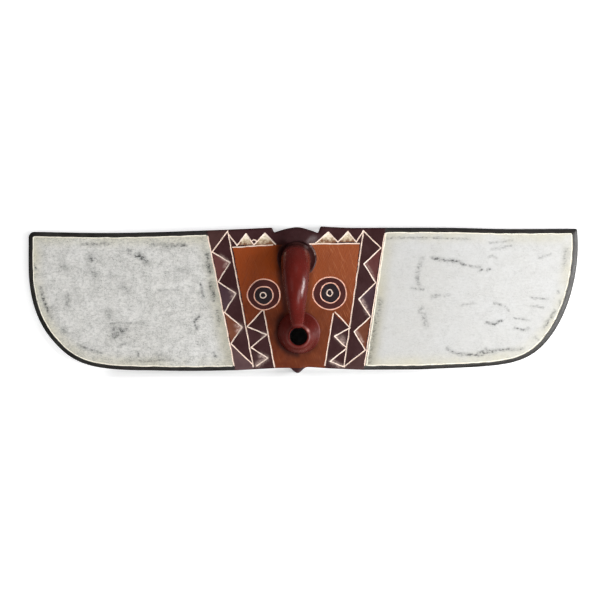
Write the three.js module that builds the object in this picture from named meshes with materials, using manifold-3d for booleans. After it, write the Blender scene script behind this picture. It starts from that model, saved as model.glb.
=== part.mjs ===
// A butterfly mask in the bwa manner: two broad wings and a small face, carved from one board.
// Millimetres. It lies on its back: +X is the viewer's right, +Y points to the crown and +Z
// comes out of the face. The back is flat, in the plane z = 0.
import * as THREE from "three";
import { mergeVertices } from "three/addons/utils/BufferGeometryUtils.js";
import Module from "manifold-3d";

const wasm = await Module();
wasm.setup();

// Board
const BOARD = 26; // thickness at the face
const WING_TIP = 14; // thickness at the outermost end of a wing
const HALF_SPAN = 355; // the wings' reach on each side
const WING_SLOPE = (BOARD - WING_TIP) / 250; // how fast a wing thins beyond the face

// The rim round a wing: its width where the edge faces up, down, left or right
const RIM = { up: 6.7, down: 5.8, left: 6.6, right: 7.8 };

// Edges: rings from the outline inwards, each [share of the edge's width, depth below the front]
const WING_EDGE = [[0, 3.4], [0.88, 0], [1, 0.9], [1.12, 0]];
const FACE_EDGE = [[0, 1.6], [0.55, 0.2], [0.78, 0], [1, 0]];
const FACE_EDGE_WIDTH = 2.7;
const SHARPEST = 0.5; // limits how far an edge reaches into a sharp corner

// Border lines between the face and the wings, and the lines inside the face, from top to bottom
const LEFT_WING_LINE = [[-124.4, 89.3], [-87.6, -91]];
const RIGHT_WING_LINE = [[106.1, 92.8], [78, -90.3]];
const LEFT_BAND_LINE = [[-97, 87.8], [-64.3, -85.9]];
const RIGHT_BAND_LINE = [[77.7, 89.2], [52.5, -85.9]];
const LEFT_CHEEK_LINE = [[-51, -13.9], [-36.9, -86.7]];
const RIGHT_CHEEK_LINE = [[38.8, -17.5], [28, -84.5]];
const LEFT_BROW_LINE = [[-90.9, 67.3], [-39.1, 70.5]];
const RIGHT_BROW_LINE = [[8.2, 71.7], [72.7, 72.2]];

// Incised lines and chips
const LINE_WIDTH = 1.5;
const LINE_DEPTH = 0.9;
const LINE_OVERRUN = 0.5; // how far a straight line is cut past its ends
const CHIP_DEPTH = 1.6;
const CHIP_START = 0.2; // step down at the base of a chip
const CUT_ABOVE = 0.5; // how far the shapes that cut rise above the front
const CUT_HALF_WIDTH = (LINE_WIDTH / 2) * (1 + CUT_ABOVE / LINE_DEPTH); // at that height

// Zigzag bands: how high each apex and each foot lies, and how far they stay off the lines
const LEFT_TEETH = {
  apexes: [88.3, 47.9, 7.9, -35.3, -83.9],
  feet: [61.3, 23.1, -16.4, -56.7],
  apexGap: 4.7,
  footGap: 1.6,
};
const RIGHT_TEETH = {
  apexes: [88.3, 46.1, 0.7, -41.3, -86.4],
  feet: [66.5, 21.9, -21.9, -64.9],
  apexGap: 6.6,
  footGap: 2,
};
const LEFT_CHEEK_ZIGZAG = [
  [-52.8, -13.9], [-72.2, -34.8], [-47, -44.9], [-67.1, -61.5], [-45.5, -75.2], [-59.9, -85.3],
];
const RIGHT_CHEEK_ZIGZAG = [
  [41, -16], [60.4, -36.2], [40.2, -47.1], [56.1, -62.2], [34.6, -79.5], [53.3, -86.7],
];
const LEFT_BROW_ZIGZAG = [
  [-95.3, 83.4], [-85.2, 69.7], [-73.6, 84.9], [-63.5, 70.5], [-49.2, 85.6], [-35.5, 71.1],
];
const RIGHT_BROW_ZIGZAG = [
  [15.1, 71.9], [32.4, 87.1], [44.6, 74.1], [57.6, 87.8], [68.4, 74.1], [77.7, 89.2],
];

// Eyes: each incised ring's middle, half width and half height, from the outermost in
const LEFT_EYE = [[-50.6, 6.6, 20.9, 19.7], [-51, 5.4, 12.2, 11.7], [-51.8, 5.7, 3.9, 3.7]];
const RIGHT_EYE = [[34.3, 8.1, 21.6, 20.9], [34.8, 8.6, 12.5, 12.9], [34.1, 8.7, 3.5, 4.3]];
const RING_SIDES = [36, 30, 14];

// Crown, as [distance from the collar's middle, height above the board], and the turns in
// degrees off the middle line between which it sinks away
const COLLAR_MIDDLE = { x: -8.1, y: 53.2 };
const CROWN_PROFILE = [
  [19, 1.2], [20.8, 1.3], [22.4, 5.6], [24, 6.6], [28, 6.4], [34, 4.9], [40, 2.2], [45, 0],
];
const CROWN_SHOULDERS = [26, 54];
const CROWN_STEPS = 18;
const CROWN_ROOT = 1; // how deep the crown's section starts in the board
const CROWN_SINK = 0.3; // how deep its top has sunk at the shoulders' ends
const CROWN_MARGIN = 1.2; // how far the crown stays inside the outline

// Collar: its steps as [height above the front, radius]
const COLLAR_LEVELS = [[-3, 25.4], [0, 25.4], [0.7, 24]];
const COLLAR_SIDES = 36;

// The beak's middle line as [x, y, height above the front, half width], from the collar to the mouth
const BEAK = [
  [-9.2, 52.1, -6, 19],
  [-9.4, 51.5, 10, 18.8],
  [-9.7, 47.6, 26, 18.4],
  [-9.6, 37.1, 38, 17.6],
  [-9.2, 23.1, 44.5, 16],
  [-8.9, 8.1, 45.5, 13.8],
  [-8.5, -7.9, 40.5, 11.4],
  [-7.9, -19.9, 32, 9.4],
  [-7.4, -27.3, 24, 8.6],
  [-7.2, -30.6, 15, 8.4],
];
const BEAK_SIDES = 24;
const BEAK_STEPS = 22;

// Mouth: rings from its foot to its rim, each [x, y, height above the front, half width, half height]
const MOUTH = [
  [-5.5, -42.1, -2, 27.8, 27.6],
  [-5.5, -42.1, 1.8, 27.8, 27.6],
  [-5.5, -42.3, 3, 27, 26.8],
  [-5.4, -43.6, 6.5, 24.2, 24],
  [-5.3, -45.6, 12.5, 19.6, 19.5],
  [-5.2, -47.4, 18, 15.4, 15.3],
  [-5.3, -47.6, 20.4, 14.2, 14.2],
  [-5.5, -47.4, 21.2, 13, 13],
];
const MOUTH_SIDES = 36;

// The hole through the mouth, with a lip that flares just above the mouth's rim
const BORE = { x: -6.2, y: -46.9, radius: 10.9, lip: 1.4, flare: 0.4, overcut: 3 };

// Hollow in the back, behind the face, and its wall as [share of the depth, share of the draft]
const HOLLOW = { x: -7, y: 1.1, halfWidth: 74, halfHeight: 66, depth: 14, draft: 13 };
const HOLLOW_WALL = [[-0.14, -0.06], [0, 0], [0.7, 0.45], [1, 1]];
const HOLLOW_SIDES = 40;

// Corners nearer to each other than this are one, in an outline and in a finished shape
const OUTLINE_TOLERANCE = 0.1;
const CORNER_TOLERANCE = 1e-4;

const vector = ([x, y]) => new THREE.Vector2(x, y);
const line = (...points) => new THREE.LineCurve(...points.map(vector));
const spline = (...points) => new THREE.SplineCurve(points.map(vector));
const bezier = (...points) => new THREE.CubicBezierCurve(...points.map(vector));

// The outline, anticlockwise from the top right corner, as [curve, steps, edge].
function outlineCurves() {
  const [leftTop, leftFoot] = LEFT_WING_LINE;
  const [rightTop, rightFoot] = RIGHT_WING_LINE;
  return [
    [spline([354, 91.8], [260, 91.3], [190, 92.8], [107.2, 92.8]), 8, WING_EDGE],
    [spline(rightTop, [65, 92.6], [45, 93.2], [22.3, 94.5]), 4, FACE_EDGE],
    [line([22.3, 94.5], [18.9, 85.8]), 1, FACE_EDGE],
    [spline([18.9, 85.8], [8.6, 89.6], [-6.5, 93.3], [-22.4, 91.2], [-37.6, 86.5]), 12, FACE_EDGE],
    [line([-37.6, 86.5], [-40.2, 93]), 1, FACE_EDGE],
    [spline([-40.2, 93], [-55, 92.2], [-85, 90.8], leftTop), 4, FACE_EDGE],
    [spline([-125.5, 89.3], [-190, 87.2], [-262, 86.2], [-350.4, 87.8]), 8, WING_EDGE],
    [line([-350.4, 87.8], [-HALF_SPAN, 83.3]), 1, WING_EDGE],
    [line([-HALF_SPAN, 83.3], [-HALF_SPAN, 45.4]), 1, WING_EDGE],
    [bezier([-HALF_SPAN, 45.4], [-HALF_SPAN, 0], [-342.9, -30.2], [-325.3, -50.9]), 12, WING_EDGE],
    [bezier([-325.3, -50.9], [-297.2, -84.3], [-274.5, -91.2], [-198, -91.2]), 14, WING_EDGE],
    [spline([-198, -91.2], [-146.3, -91.9], [-88.7, -91]), 4, WING_EDGE],
    [spline(leftFoot, [-43, -88.6], [-30, -88], [-16.8, -88]), 5, FACE_EDGE],
    [line([-16.8, -88], [-9.8, -93.8]), 1, FACE_EDGE],
    [spline([-9.8, -93.8], [-7.5, -94.5], [-5.2, -94]), 2, FACE_EDGE],
    [line([-5.2, -94], [2.6, -87.4]), 1, FACE_EDGE],
    [spline([2.6, -87.4], [8.7, -86.9], [34.6, -88.6], rightFoot), 5, FACE_EDGE],
    [spline([79.1, -90.3], [125, -90.1], [150.8, -90]), 3, WING_EDGE],
    [bezier([150.8, -90], [240, -85.9], [269.8, -87.3], [297.8, -69.1]), 12, WING_EDGE],
    [bezier([297.8, -69.1], [329.4, -47.2], [353, 5.5], [HALF_SPAN, 66]), 14, WING_EDGE],
    [line([HALF_SPAN, 66], [354, 91.8]), 1, WING_EDGE],
  ];
}

// The outline's corners in order, each with the edge that it carries.
function outlineCorners() {
  const corners = [];
  for (const [curve, steps, edge] of outlineCurves())
    for (const point of curve.getPoints(steps)) {
      const last = corners.at(-1);
      if (last && last.point.distanceTo(point) < OUTLINE_TOLERANCE) continue;
      corners.push({ point, edge });
    }
  corners.pop(); // the last corner closes on the first
  return corners;
}

// How wide an edge is where its inward direction is the given one.
function edgeWidth(edge, inward) {
  if (edge === FACE_EDGE) return FACE_EDGE_WIDTH;
  const upright = inward.y < 0 ? RIM.up : RIM.down;
  const sideways = inward.x < 0 ? RIM.right : RIM.left;
  return upright * inward.y ** 2 + sideways * inward.x ** 2;
}

// Moves each corner of a ring inwards by its own distance, keeping the sides parallel.
function inset(corners, distanceOf) {
  return corners.map(({ point, edge }, i) => {
    const before = corners.at(i - 1).point;
    const after = corners[(i + 1) % corners.length].point;
    const into = point.clone().sub(before).normalize();
    const out = after.clone().sub(point).normalize();
    const inward = new THREE.Vector2(-into.y - out.y, into.x + out.x).normalize();
    const stretch = Math.max(SHARPEST, inward.dot(new THREE.Vector2(-into.y, into.x)));
    return point.clone().addScaledVector(inward, distanceOf(edge, inward) / stretch);
  });
}

// How far a point lies beyond a border line, on the wing's side.
function beyond([top, foot], side, x, y) {
  const along = vector(foot).sub(vector(top)).normalize();
  const across = (x - top[0]) * along.y - (y - top[1]) * along.x;
  return Math.max(0, -side * across);
}

// Height of the front over a point: level on the face, falling away along the wings.
function front(x, y) {
  const onLeft = beyond(LEFT_WING_LINE, -1, x, y);
  const onRight = beyond(RIGHT_WING_LINE, 1, x, y);
  return BOARD - WING_SLOPE * Math.max(onLeft, onRight);
}

// The triangles of a level shape with the given corners.
const flatShape = (indices, at) =>
  THREE.ShapeUtils.triangulateShape(
    indices.map((i) => new THREE.Vector2(at(i).x, at(i).y)),
    [],
  ).map((triangle) => triangle.map((corner) => indices[corner]));

// A geometry made of the given corners and triangles.
function geometryOf(vertices, triangles) {
  const geometry = new THREE.BufferGeometry();
  const positions = vertices.flatMap((v) => [v.x, v.y, v.z]);
  geometry.setAttribute("position", new THREE.Float32BufferAttribute(positions, 3));
  geometry.setIndex(triangles.flat());
  return geometry;
}

// The sides of a stack of rings that all have the same number of corners.
function sidesOf(ringCount, size) {
  const triangles = [];
  for (let ring = 0; ring < ringCount - 1; ring++)
    for (let i = 0; i < size; i++) {
      const low = ring * size;
      const next = (i + 1) % size;
      triangles.push([low + i, low + next, low + size + next]);
      triangles.push([low + i, low + size + next, low + size + i]);
    }
  return triangles;
}

// A closed solid through a stack of convex rings.
function loft(rings) {
  const size = rings[0].length;
  const top = (rings.length - 1) * size;
  const triangles = sidesOf(rings.length, size);
  for (let i = 1; i < size - 1; i++) {
    triangles.push([0, i + 1, i]);
    triangles.push([top, top + i, top + i + 1]);
  }
  return geometryOf(rings.flat(), triangles);
}

// The board with its shaped edge. Its front is three planes that meet at the border lines.
function boardGeometry() {
  const corners = outlineCorners();
  const size = corners.length;
  const rings = [corners.map(({ point }) => new THREE.Vector3(point.x, point.y, 0))];
  for (let step = 0; step < WING_EDGE.length; step++)
    rings.push(
      inset(corners, (edge, inward) => edge[step][0] * edgeWidth(edge, inward)).map(
        ({ x, y }, i) => new THREE.Vector3(x, y, front(x, y) - corners[i].edge[step][1]),
      ),
    );
  const vertices = rings.flat();
  const triangles = sidesOf(rings.length, size);
  const at = (i) => vertices[i];
  const back = flatShape([...Array(size).keys()], at);
  triangles.push(...back.map(([a, b, c]) => [a, c, b]));

  const top = (rings.length - 1) * size;
  const cornerAt = (place) =>
    corners.findIndex(({ point }) => point.distanceTo(vector(place)) < OUTLINE_TOLERANCE);
  const between = (from, to) => {
    const found = [];
    for (let i = from; i !== to; i = (i + 1) % size) found.push(top + i);
    return [...found, top + to];
  };
  const [leftTop, leftFoot] = LEFT_WING_LINE.map(cornerAt);
  const [rightTop, rightFoot] = RIGHT_WING_LINE.map(cornerAt);
  const face = [...between(rightTop, leftTop), ...between(leftFoot, rightFoot)];
  for (const region of [between(leftTop, leftFoot), face, between(rightFoot, rightTop)])
    triangles.push(...flatShape(region, at));
  return geometryOf(vertices, triangles);
}

// A straight-sided block of the mask's outline, smaller all round by a margin.
function outlineBlock(margin, low, high) {
  const ring = inset(outlineCorners(), () => margin);
  const size = ring.length;
  const vertices = [low, high].flatMap((z) => ring.map(({ x, y }) => new THREE.Vector3(x, y, z)));
  const cap = flatShape([...Array(size).keys()], (i) => vertices[i]);
  const lid = cap.map((triangle) => triangle.map((i) => i + size));
  const base = cap.map(([a, b, c]) => [a, c, b]);
  return geometryOf(vertices, [...sidesOf(2, size), ...base, ...lid]);
}

// A ring of corners round an ellipse, level with the board.
function ellipse(x, y, z, halfWidth, halfHeight, sides) {
  return Array.from({ length: sides }, (_, i) => {
    const turn = (2 * Math.PI * i) / sides;
    return new THREE.Vector3(x + halfWidth * Math.cos(turn), y + halfHeight * Math.sin(turn), z);
  });
}

// The crown: a ridge that curves round the collar and sinks into the board at both shoulders.
function crownGeometry() {
  const [full, gone] = CROWN_SHOULDERS;
  const outer = CROWN_PROFILE.at(-1)[0];
  const inner = CROWN_PROFILE[0][0];
  const rings = [];
  for (let step = 0; step <= CROWN_STEPS; step++) {
    const degrees = gone * ((2 * step) / CROWN_STEPS - 1);
    const turn = THREE.MathUtils.degToRad(degrees);
    const swell = 1 - THREE.MathUtils.smoothstep(Math.abs(degrees), full, gone);
    const at = (reach, height) =>
      new THREE.Vector3(
        COLLAR_MIDDLE.x + reach * Math.sin(turn),
        COLLAR_MIDDLE.y + reach * Math.cos(turn),
        BOARD + height,
      );
    const top = CROWN_PROFILE.map(([reach, height]) =>
      at(reach, height * swell - CROWN_SINK * (1 - swell)),
    );
    rings.push([at(inner, -CROWN_ROOT), at(outer, -CROWN_ROOT), ...top.reverse()]);
  }
  return loft(rings);
}

// The low round collar that the beak grows out of.
const collarGeometry = () =>
  loft(
    COLLAR_LEVELS.map(([z, radius]) =>
      ellipse(COLLAR_MIDDLE.x, COLLAR_MIDDLE.y, BOARD + z, radius, radius, COLLAR_SIDES),
    ),
  );

// The beak: a round section that thins as it bends over from the collar to the mouth.
function beakGeometry() {
  const path = new THREE.CatmullRomCurve3(
    BEAK.map(([x, y, z]) => new THREE.Vector3(x, y, BOARD + z)),
  );
  const widths = new THREE.SplineCurve(BEAK.map(([, , , r], i) => new THREE.Vector2(i, r)));
  const sideways = new THREE.Vector3(1, 0, 0);
  const rings = [];
  for (let step = 0; step <= BEAK_STEPS; step++) {
    const at = step / BEAK_STEPS;
    const centre = path.getPoint(at);
    const along = path.getTangent(at);
    const upward = new THREE.Vector3().crossVectors(along, sideways).normalize();
    const radius = widths.getPoint(at).y;
    rings.push(
      Array.from({ length: BEAK_SIDES }, (_, i) => {
        const turn = (2 * Math.PI * i) / BEAK_SIDES;
        return centre
          .clone()
          .addScaledVector(sideways, radius * Math.cos(turn))
          .addScaledVector(upward, radius * Math.sin(turn));
      }),
    );
  }
  return loft(rings);
}

// The mouth: a round spout that narrows from its foot to its rim.
const mouthGeometry = () =>
  loft(MOUTH.map(([x, y, z, w, h]) => ellipse(x, y, BOARD + z, w, h, MOUTH_SIDES)));

// The hole through the mouth, opening slightly at its lip.
function boreGeometry() {
  const { x, y, radius, lip, flare, overcut } = BORE;
  const rim = BOARD + MOUTH.at(-1)[2];
  const levels = [
    [HOLLOW.depth - overcut, radius],
    [rim - lip, radius],
    [rim + flare, radius + lip],
    [rim + overcut, radius + lip],
  ];
  return loft(levels.map(([z, r]) => ellipse(x, y, z, r, r, MOUTH_SIDES)));
}

// The hollow behind the face, with sloping sides.
function hollowGeometry() {
  const { x, y, halfWidth, halfHeight, depth, draft } = HOLLOW;
  return loft(
    HOLLOW_WALL.map(([down, inward]) => {
      const shrink = draft * inward;
      return ellipse(x, y, depth * down, halfWidth - shrink, halfHeight - shrink, HOLLOW_SIDES);
    }),
  );
}

// One straight incised line, V-shaped in section.
function lineCutter([ax, ay], [bx, by]) {
  const a = new THREE.Vector2(ax, ay);
  const b = new THREE.Vector2(bx, by);
  const along = b.clone().sub(a).normalize();
  const side = new THREE.Vector2(-along.y, along.x);
  const ring = (end, past) => {
    const p = end.clone().addScaledVector(along, past);
    const left = p.clone().addScaledVector(side, CUT_HALF_WIDTH);
    const right = p.clone().addScaledVector(side, -CUT_HALF_WIDTH);
    const level = front(end.x, end.y);
    return [
      new THREE.Vector3(left.x, left.y, level + CUT_ABOVE),
      new THREE.Vector3(p.x, p.y, level - LINE_DEPTH),
      new THREE.Vector3(right.x, right.y, level + CUT_ABOVE),
    ];
  };
  return loft([ring(a, -LINE_OVERRUN), ring(b, LINE_OVERRUN)]);
}

// One incised line for each leg of a path.
const cuttersAlong = (points) => points.slice(1).map((point, i) => lineCutter(points[i], point));

// The part of a border line that is incised: it ends at the rims.
function betweenRims([top, foot]) {
  const start = vector(top);
  const end = vector(foot);
  const along = end.clone().sub(start).normalize();
  start.addScaledVector(along, RIM.up);
  end.addScaledVector(along, -RIM.down);
  return [start.toArray(), end.toArray()];
}

// One incised ring of an eye.
function ringCutter([x, y, halfWidth, halfHeight], sides) {
  const profile = [
    [-CUT_HALF_WIDTH, CUT_ABOVE],
    [0, -LINE_DEPTH],
    [CUT_HALF_WIDTH, CUT_ABOVE],
    [-CUT_HALF_WIDTH, CUT_ABOVE],
  ];
  const points = profile.map(([out, up]) => new THREE.Vector2(halfWidth + out, up));
  const geometry = new THREE.LatheGeometry(points, sides);
  geometry.rotateX(Math.PI / 2);
  geometry.scale(1, halfHeight / halfWidth, 1);
  return geometry.translate(x, y, BOARD);
}

// One chip, almost flush at its base and deepest at its apex.
function chipCutter(left, right, apex) {
  const corners = [
    [left, CHIP_START],
    [right, CHIP_START],
    [apex, CHIP_DEPTH],
  ];
  const base = vector(right).sub(vector(left));
  const edge = vector(apex).sub(vector(left));
  if (base.cross(edge) < 0) corners.reverse();
  const low = corners.map(([[x, y], depth]) => new THREE.Vector3(x, y, BOARD - depth));
  const high = corners.map(([[x, y]]) => new THREE.Vector3(x, y, BOARD + CUT_ABOVE));
  return loft([low, high]);
}

// The corners of a zigzag between two lines, from the top down: apex, foot, apex and so on.
function zigzag(apexLine, footLine, { apexes, feet, apexGap, footGap }) {
  const outward = Math.sign(footLine[0][0] - apexLine[0][0]);
  const on = ([top, foot], y, gap) => {
    const share = (top[1] - y) / (top[1] - foot[1]);
    return [top[0] + share * (foot[0] - top[0]) + gap, y];
  };
  const corners = [on(apexLine, apexes[0], 0)];
  feet.forEach((foot, tooth) => {
    const last = tooth === feet.length - 1;
    corners.push(on(footLine, foot, -outward * footGap));
    corners.push(on(apexLine, apexes[tooth + 1], last ? 0 : outward * apexGap));
  });
  return corners;
}

// The chips of a zigzag, between each pair of feet.
const chipsOf = (corners, firstFoot) => {
  const chips = [];
  for (let i = firstFoot; i + 2 < corners.length; i += 2)
    chips.push(chipCutter(corners[i], corners[i + 2], corners[i + 1]));
  return chips;
};

// Everything that is cut into the front.
function carvingCutters() {
  const leftTeeth = zigzag(LEFT_BAND_LINE, LEFT_WING_LINE, LEFT_TEETH);
  const rightTeeth = zigzag(RIGHT_BAND_LINE, RIGHT_WING_LINE, RIGHT_TEETH);
  const straight = [
    ...[LEFT_WING_LINE, RIGHT_WING_LINE].map(betweenRims),
    LEFT_BAND_LINE, RIGHT_BAND_LINE, LEFT_CHEEK_LINE, RIGHT_CHEEK_LINE,
    LEFT_BROW_LINE, RIGHT_BROW_LINE,
  ];
  const zigzags = [
    leftTeeth, rightTeeth, LEFT_CHEEK_ZIGZAG, RIGHT_CHEEK_ZIGZAG, LEFT_BROW_ZIGZAG, RIGHT_BROW_ZIGZAG,
  ];
  const rings = [LEFT_EYE, RIGHT_EYE].flatMap((eye) =>
    eye.map((ring, i) => ringCutter(ring, RING_SIDES[i])),
  );
  return [
    ...[...straight, ...zigzags].flatMap(cuttersAlong),
    ...rings,
    ...chipsOf(leftTeeth, 1),
    ...chipsOf(rightTeeth, 1),
    ...chipsOf(LEFT_CHEEK_ZIGZAG, 1),
    ...chipsOf(RIGHT_CHEEK_ZIGZAG, 1),
    ...chipsOf(LEFT_BROW_ZIGZAG, 1),
    ...chipsOf(RIGHT_BROW_ZIGZAG, 0),
  ];
}

// A closed geometry as a solid that can be joined and cut.
function solid(geometry) {
  const bare = geometry.clone();
  bare.deleteAttribute("normal");
  bare.deleteAttribute("uv");
  const merged = mergeVertices(bare, CORNER_TOLERANCE);
  const corners = merged.index.array;
  const vertProperties = new Float32Array(merged.attributes.position.array);
  const kept = [];
  for (let i = 0; i < corners.length; i += 3) {
    const [a, b, c] = corners.slice(i, i + 3);
    if (a !== b && b !== c && c !== a) kept.push(a, b, c);
  }
  const make = (order) =>
    new wasm.Manifold(new wasm.Mesh({ numProp: 3, vertProperties, triVerts: new Uint32Array(order) }));
  const made = make(kept);
  return made.volume() < 0 ? make(kept.reverse()) : made;
}

// The geometry of a finished solid.
function geometryFrom(manifold) {
  const mesh = manifold.getMesh();
  const geometry = new THREE.BufferGeometry();
  geometry.setAttribute("position", new THREE.BufferAttribute(mesh.vertProperties, mesh.numProp));
  geometry.setIndex(new THREE.BufferAttribute(mesh.triVerts, 1));
  geometry.computeVertexNormals();
  return geometry;
}

// The whole mask: the board with its carving, its raised parts, the hole and the hollow.
function maskGeometry() {
  const cutters = carvingCutters().map(solid);
  const carved = cutters.reduce((mask, cutter) => mask.subtract(cutter), solid(boardGeometry()));
  const tallest = Math.max(...CROWN_PROFILE.map(([, height]) => height));
  const inOutline = outlineBlock(CROWN_MARGIN, BOARD - 2 * CROWN_ROOT, BOARD + tallest + CROWN_ROOT);
  const raised = solid(crownGeometry())
    .intersect(solid(inOutline))
    .add(solid(collarGeometry()))
    .add(solid(beakGeometry()))
    .add(solid(mouthGeometry()));
  return geometryFrom(
    carved.add(raised).subtract(solid(boreGeometry())).subtract(solid(hollowGeometry())),
  );
}

const paintedWood = new THREE.MeshStandardMaterial({ color: 0x8a4a2a, roughness: 0.55, metalness: 0 });
const mask = new THREE.Mesh(maskGeometry(), paintedWood);
mask.name = "mask";

const butterflyMask = new THREE.Group();
butterflyMask.add(mask);

export default butterflyMask;
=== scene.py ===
import math

import bpy
import numpy as np
from mathutils import Matrix, Vector, kdtree
from mathutils.geometry import delaunay_2d_cdt


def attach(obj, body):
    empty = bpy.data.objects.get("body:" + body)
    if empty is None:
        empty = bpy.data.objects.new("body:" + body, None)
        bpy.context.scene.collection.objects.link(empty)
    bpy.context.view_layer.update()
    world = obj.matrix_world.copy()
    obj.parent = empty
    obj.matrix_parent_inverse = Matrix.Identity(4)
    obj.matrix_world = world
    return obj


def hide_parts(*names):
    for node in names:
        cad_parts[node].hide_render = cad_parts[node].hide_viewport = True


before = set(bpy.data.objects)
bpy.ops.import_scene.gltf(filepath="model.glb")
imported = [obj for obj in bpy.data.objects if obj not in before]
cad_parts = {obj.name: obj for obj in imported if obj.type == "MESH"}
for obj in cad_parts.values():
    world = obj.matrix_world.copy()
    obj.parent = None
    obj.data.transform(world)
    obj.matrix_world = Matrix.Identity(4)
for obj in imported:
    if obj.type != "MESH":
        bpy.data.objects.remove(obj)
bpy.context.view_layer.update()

# A butterfly mask in the bwa manner, carved from one board, incised and painted.
# It lies on its back: +X is the viewer's right, +Y points to the crown, +Z comes out of the face.
# Sizes and places are in millimetres, and become metres when a mesh is made. Those of the node
# trees, the paints, the lights and the camera are in metres.
MM = 0.001

# Board
BOARD = 26  # thickness at the face
WING_TIP = 14  # thickness at the outermost end of a wing
HALF_SPAN = 355
WING_SLOPE = (BOARD - WING_TIP) / 250  # how fast a wing thins beyond the face
BACK_EDGE = 0.8  # rounding of the edge that the mask lies on

# Edges, as distance in from the outline and depth below the front
WING_EDGE = [[0, 3.4], [1, 2.1], [3, 0.8], [5.6, 0]]
FACE_EDGE = [[0, 1.6], [1, 0.5], [3, 0]]

# The rim round a wing's white field: its width where the edge faces up, down, left or right
RIM = {"up": 6.7, "down": 5.8, "left": 6.6, "right": 7.8}

# Border lines between the face and the wings, and the lines inside the face, from top to bottom
LEFT_WING_LINE = [[-124.4, 89.3], [-87.6, -91]]
RIGHT_WING_LINE = [[106.1, 92.8], [78, -90.3]]
LEFT_BAND_LINE = [[-97, 87.8], [-64.3, -85.9]]
RIGHT_BAND_LINE = [[77.7, 89.2], [52.5, -85.9]]
LEFT_CHEEK_LINE = [[-51, -13.9], [-36.9, -86.7]]
RIGHT_CHEEK_LINE = [[38.8, -17.5], [28, -84.5]]
LEFT_BROW_LINE = [[-90.9, 67.3], [-39.1, 70.5]]
RIGHT_BROW_LINE = [[8.2, 71.7], [72.7, 72.2]]

# Incised lines and chips
LINE_WIDTH = 1.5
LINE_DEPTH = 0.9
CHIP_DEPTH = 1.6
CHIP_START = 0.2  # step down at the base of a chip
CHIP_WALL = 1  # how wide the wall of a chip is, seen from above

# Zigzag bands: how high each apex and each foot lies, and how far they stay off the lines
LEFT_TEETH = {
    "apexes": [88.3, 47.9, 7.9, -35.3, -83.9], "feet": [61.3, 23.1, -16.4, -56.7],
    "apex_gap": 4.7, "foot_gap": 1.6,
}
RIGHT_TEETH = {
    "apexes": [88.3, 46.1, 0.7, -41.3, -86.4], "feet": [66.5, 21.9, -21.9, -64.9],
    "apex_gap": 6.6, "foot_gap": 2,
}
LEFT_CHEEK_ZIGZAG = [
    [-52.8, -13.9], [-72.2, -34.8], [-47, -44.9], [-67.1, -61.5], [-45.5, -75.2], [-59.9, -85.3],
]
RIGHT_CHEEK_ZIGZAG = [
    [41, -16], [60.4, -36.2], [40.2, -47.1], [56.1, -62.2], [34.6, -79.5], [53.3, -86.7],
]
LEFT_BROW_ZIGZAG = [
    [-95.3, 83.4], [-85.2, 69.7], [-73.6, 84.9], [-63.5, 70.5], [-49.2, 85.6], [-35.5, 71.1],
]
RIGHT_BROW_ZIGZAG = [
    [15.1, 71.9], [32.4, 87.1], [44.6, 74.1], [57.6, 87.8], [68.4, 74.1], [77.7, 89.2],
]
BROW_NICK = [[-67, 74.4], [-63.6, 77.3], [-60, 75.3]]

# Eyes: each incised ring's middle, half width and half height, from the outermost in
LEFT_EYE = [[-50.6, 6.6, 20.9, 19.7], [-51, 5.4, 12.2, 11.7], [-51.8, 5.7, 3.9, 3.7]]
RIGHT_EYE = [[34.3, 8.1, 21.6, 20.9], [34.8, 8.6, 12.5, 12.9], [34.1, 8.7, 3.5, 4.3]]

# Crown and collar, as [distance from the collar's middle, height above the board]
COLLAR_MIDDLE = (-8.1, 53.2)
CROWN_PROFILE = [[19, 1.2], [20.8, 1.3], [22.4, 5.6], [24, 6.6], [28, 6.4], [34, 4.9], [40, 2.2], [45, 0]]
COLLAR_PROFILE = [[19, -0.9], [20.8, -0.7], [22.4, 0.5], [24, 0.7], [25.4, 0]]
CROWN_SHOULDERS = [26, 54]  # degrees off the middle line between which the crown sinks away

# The beak's middle line as [x, y, height above the front, half width], from the collar to the mouth
BEAK = [
    [-9.2, 52.1, -6, 19],
    [-9.4, 51.5, 10, 18.8],
    [-9.7, 47.6, 26, 18.4],
    [-9.6, 37.1, 38, 17.6],
    [-9.2, 23.1, 44.5, 16],
    [-8.9, 8.1, 45.5, 13.8],
    [-8.5, -7.9, 40.5, 11.4],
    [-7.9, -19.9, 32, 9.4],
    [-7.4, -27.3, 24, 8.6],
    [-7.2, -30.6, 15, 8.4],
]

# Mouth: rings from its foot to its rim, each [x, y, height above the front, half width, half height]
MOUTH = [
    [-5.5, -42.1, -2, 27.8, 27.6],
    [-5.5, -42.1, 1.8, 27.8, 27.6],
    [-5.5, -42.3, 3, 27, 26.8],
    [-5.4, -43.6, 6.5, 24.2, 24],
    [-5.3, -45.6, 12.5, 19.6, 19.5],
    [-5.2, -47.4, 18, 15.4, 15.3],
    [-5.3, -47.6, 20.4, 14.2, 14.2],
    [-5.5, -47.4, 21.2, 13, 13],
]
# The hole through the mouth, and how far it opens towards the rim: [depth below the rim, how much
# wider], both as shares of its lip
BORE = {"x": -6.2, "y": -46.9, "radius": 10.9, "lip": 1.4}
BORE_OPENING = [[3, 0], [1, 0.3], [0.2, 1]]
BORE_ENDS = [5, 4]  # how far the cutting tool runs past the hollow's floor and past the rim

# Hollow in the back, behind the face
HOLLOW = {"x": -7, "y": 1.1, "half_width": 74, "half_height": 66, "depth": 14, "draft": 13}

# How closely the surface is laid out, as the distance between its corners
WING_STEP = 2.7
FACE_STEP = 1.5
SMUDGE_STEP = 1.4
LINE_STEP = 2
BACK_STEP = 4

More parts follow.
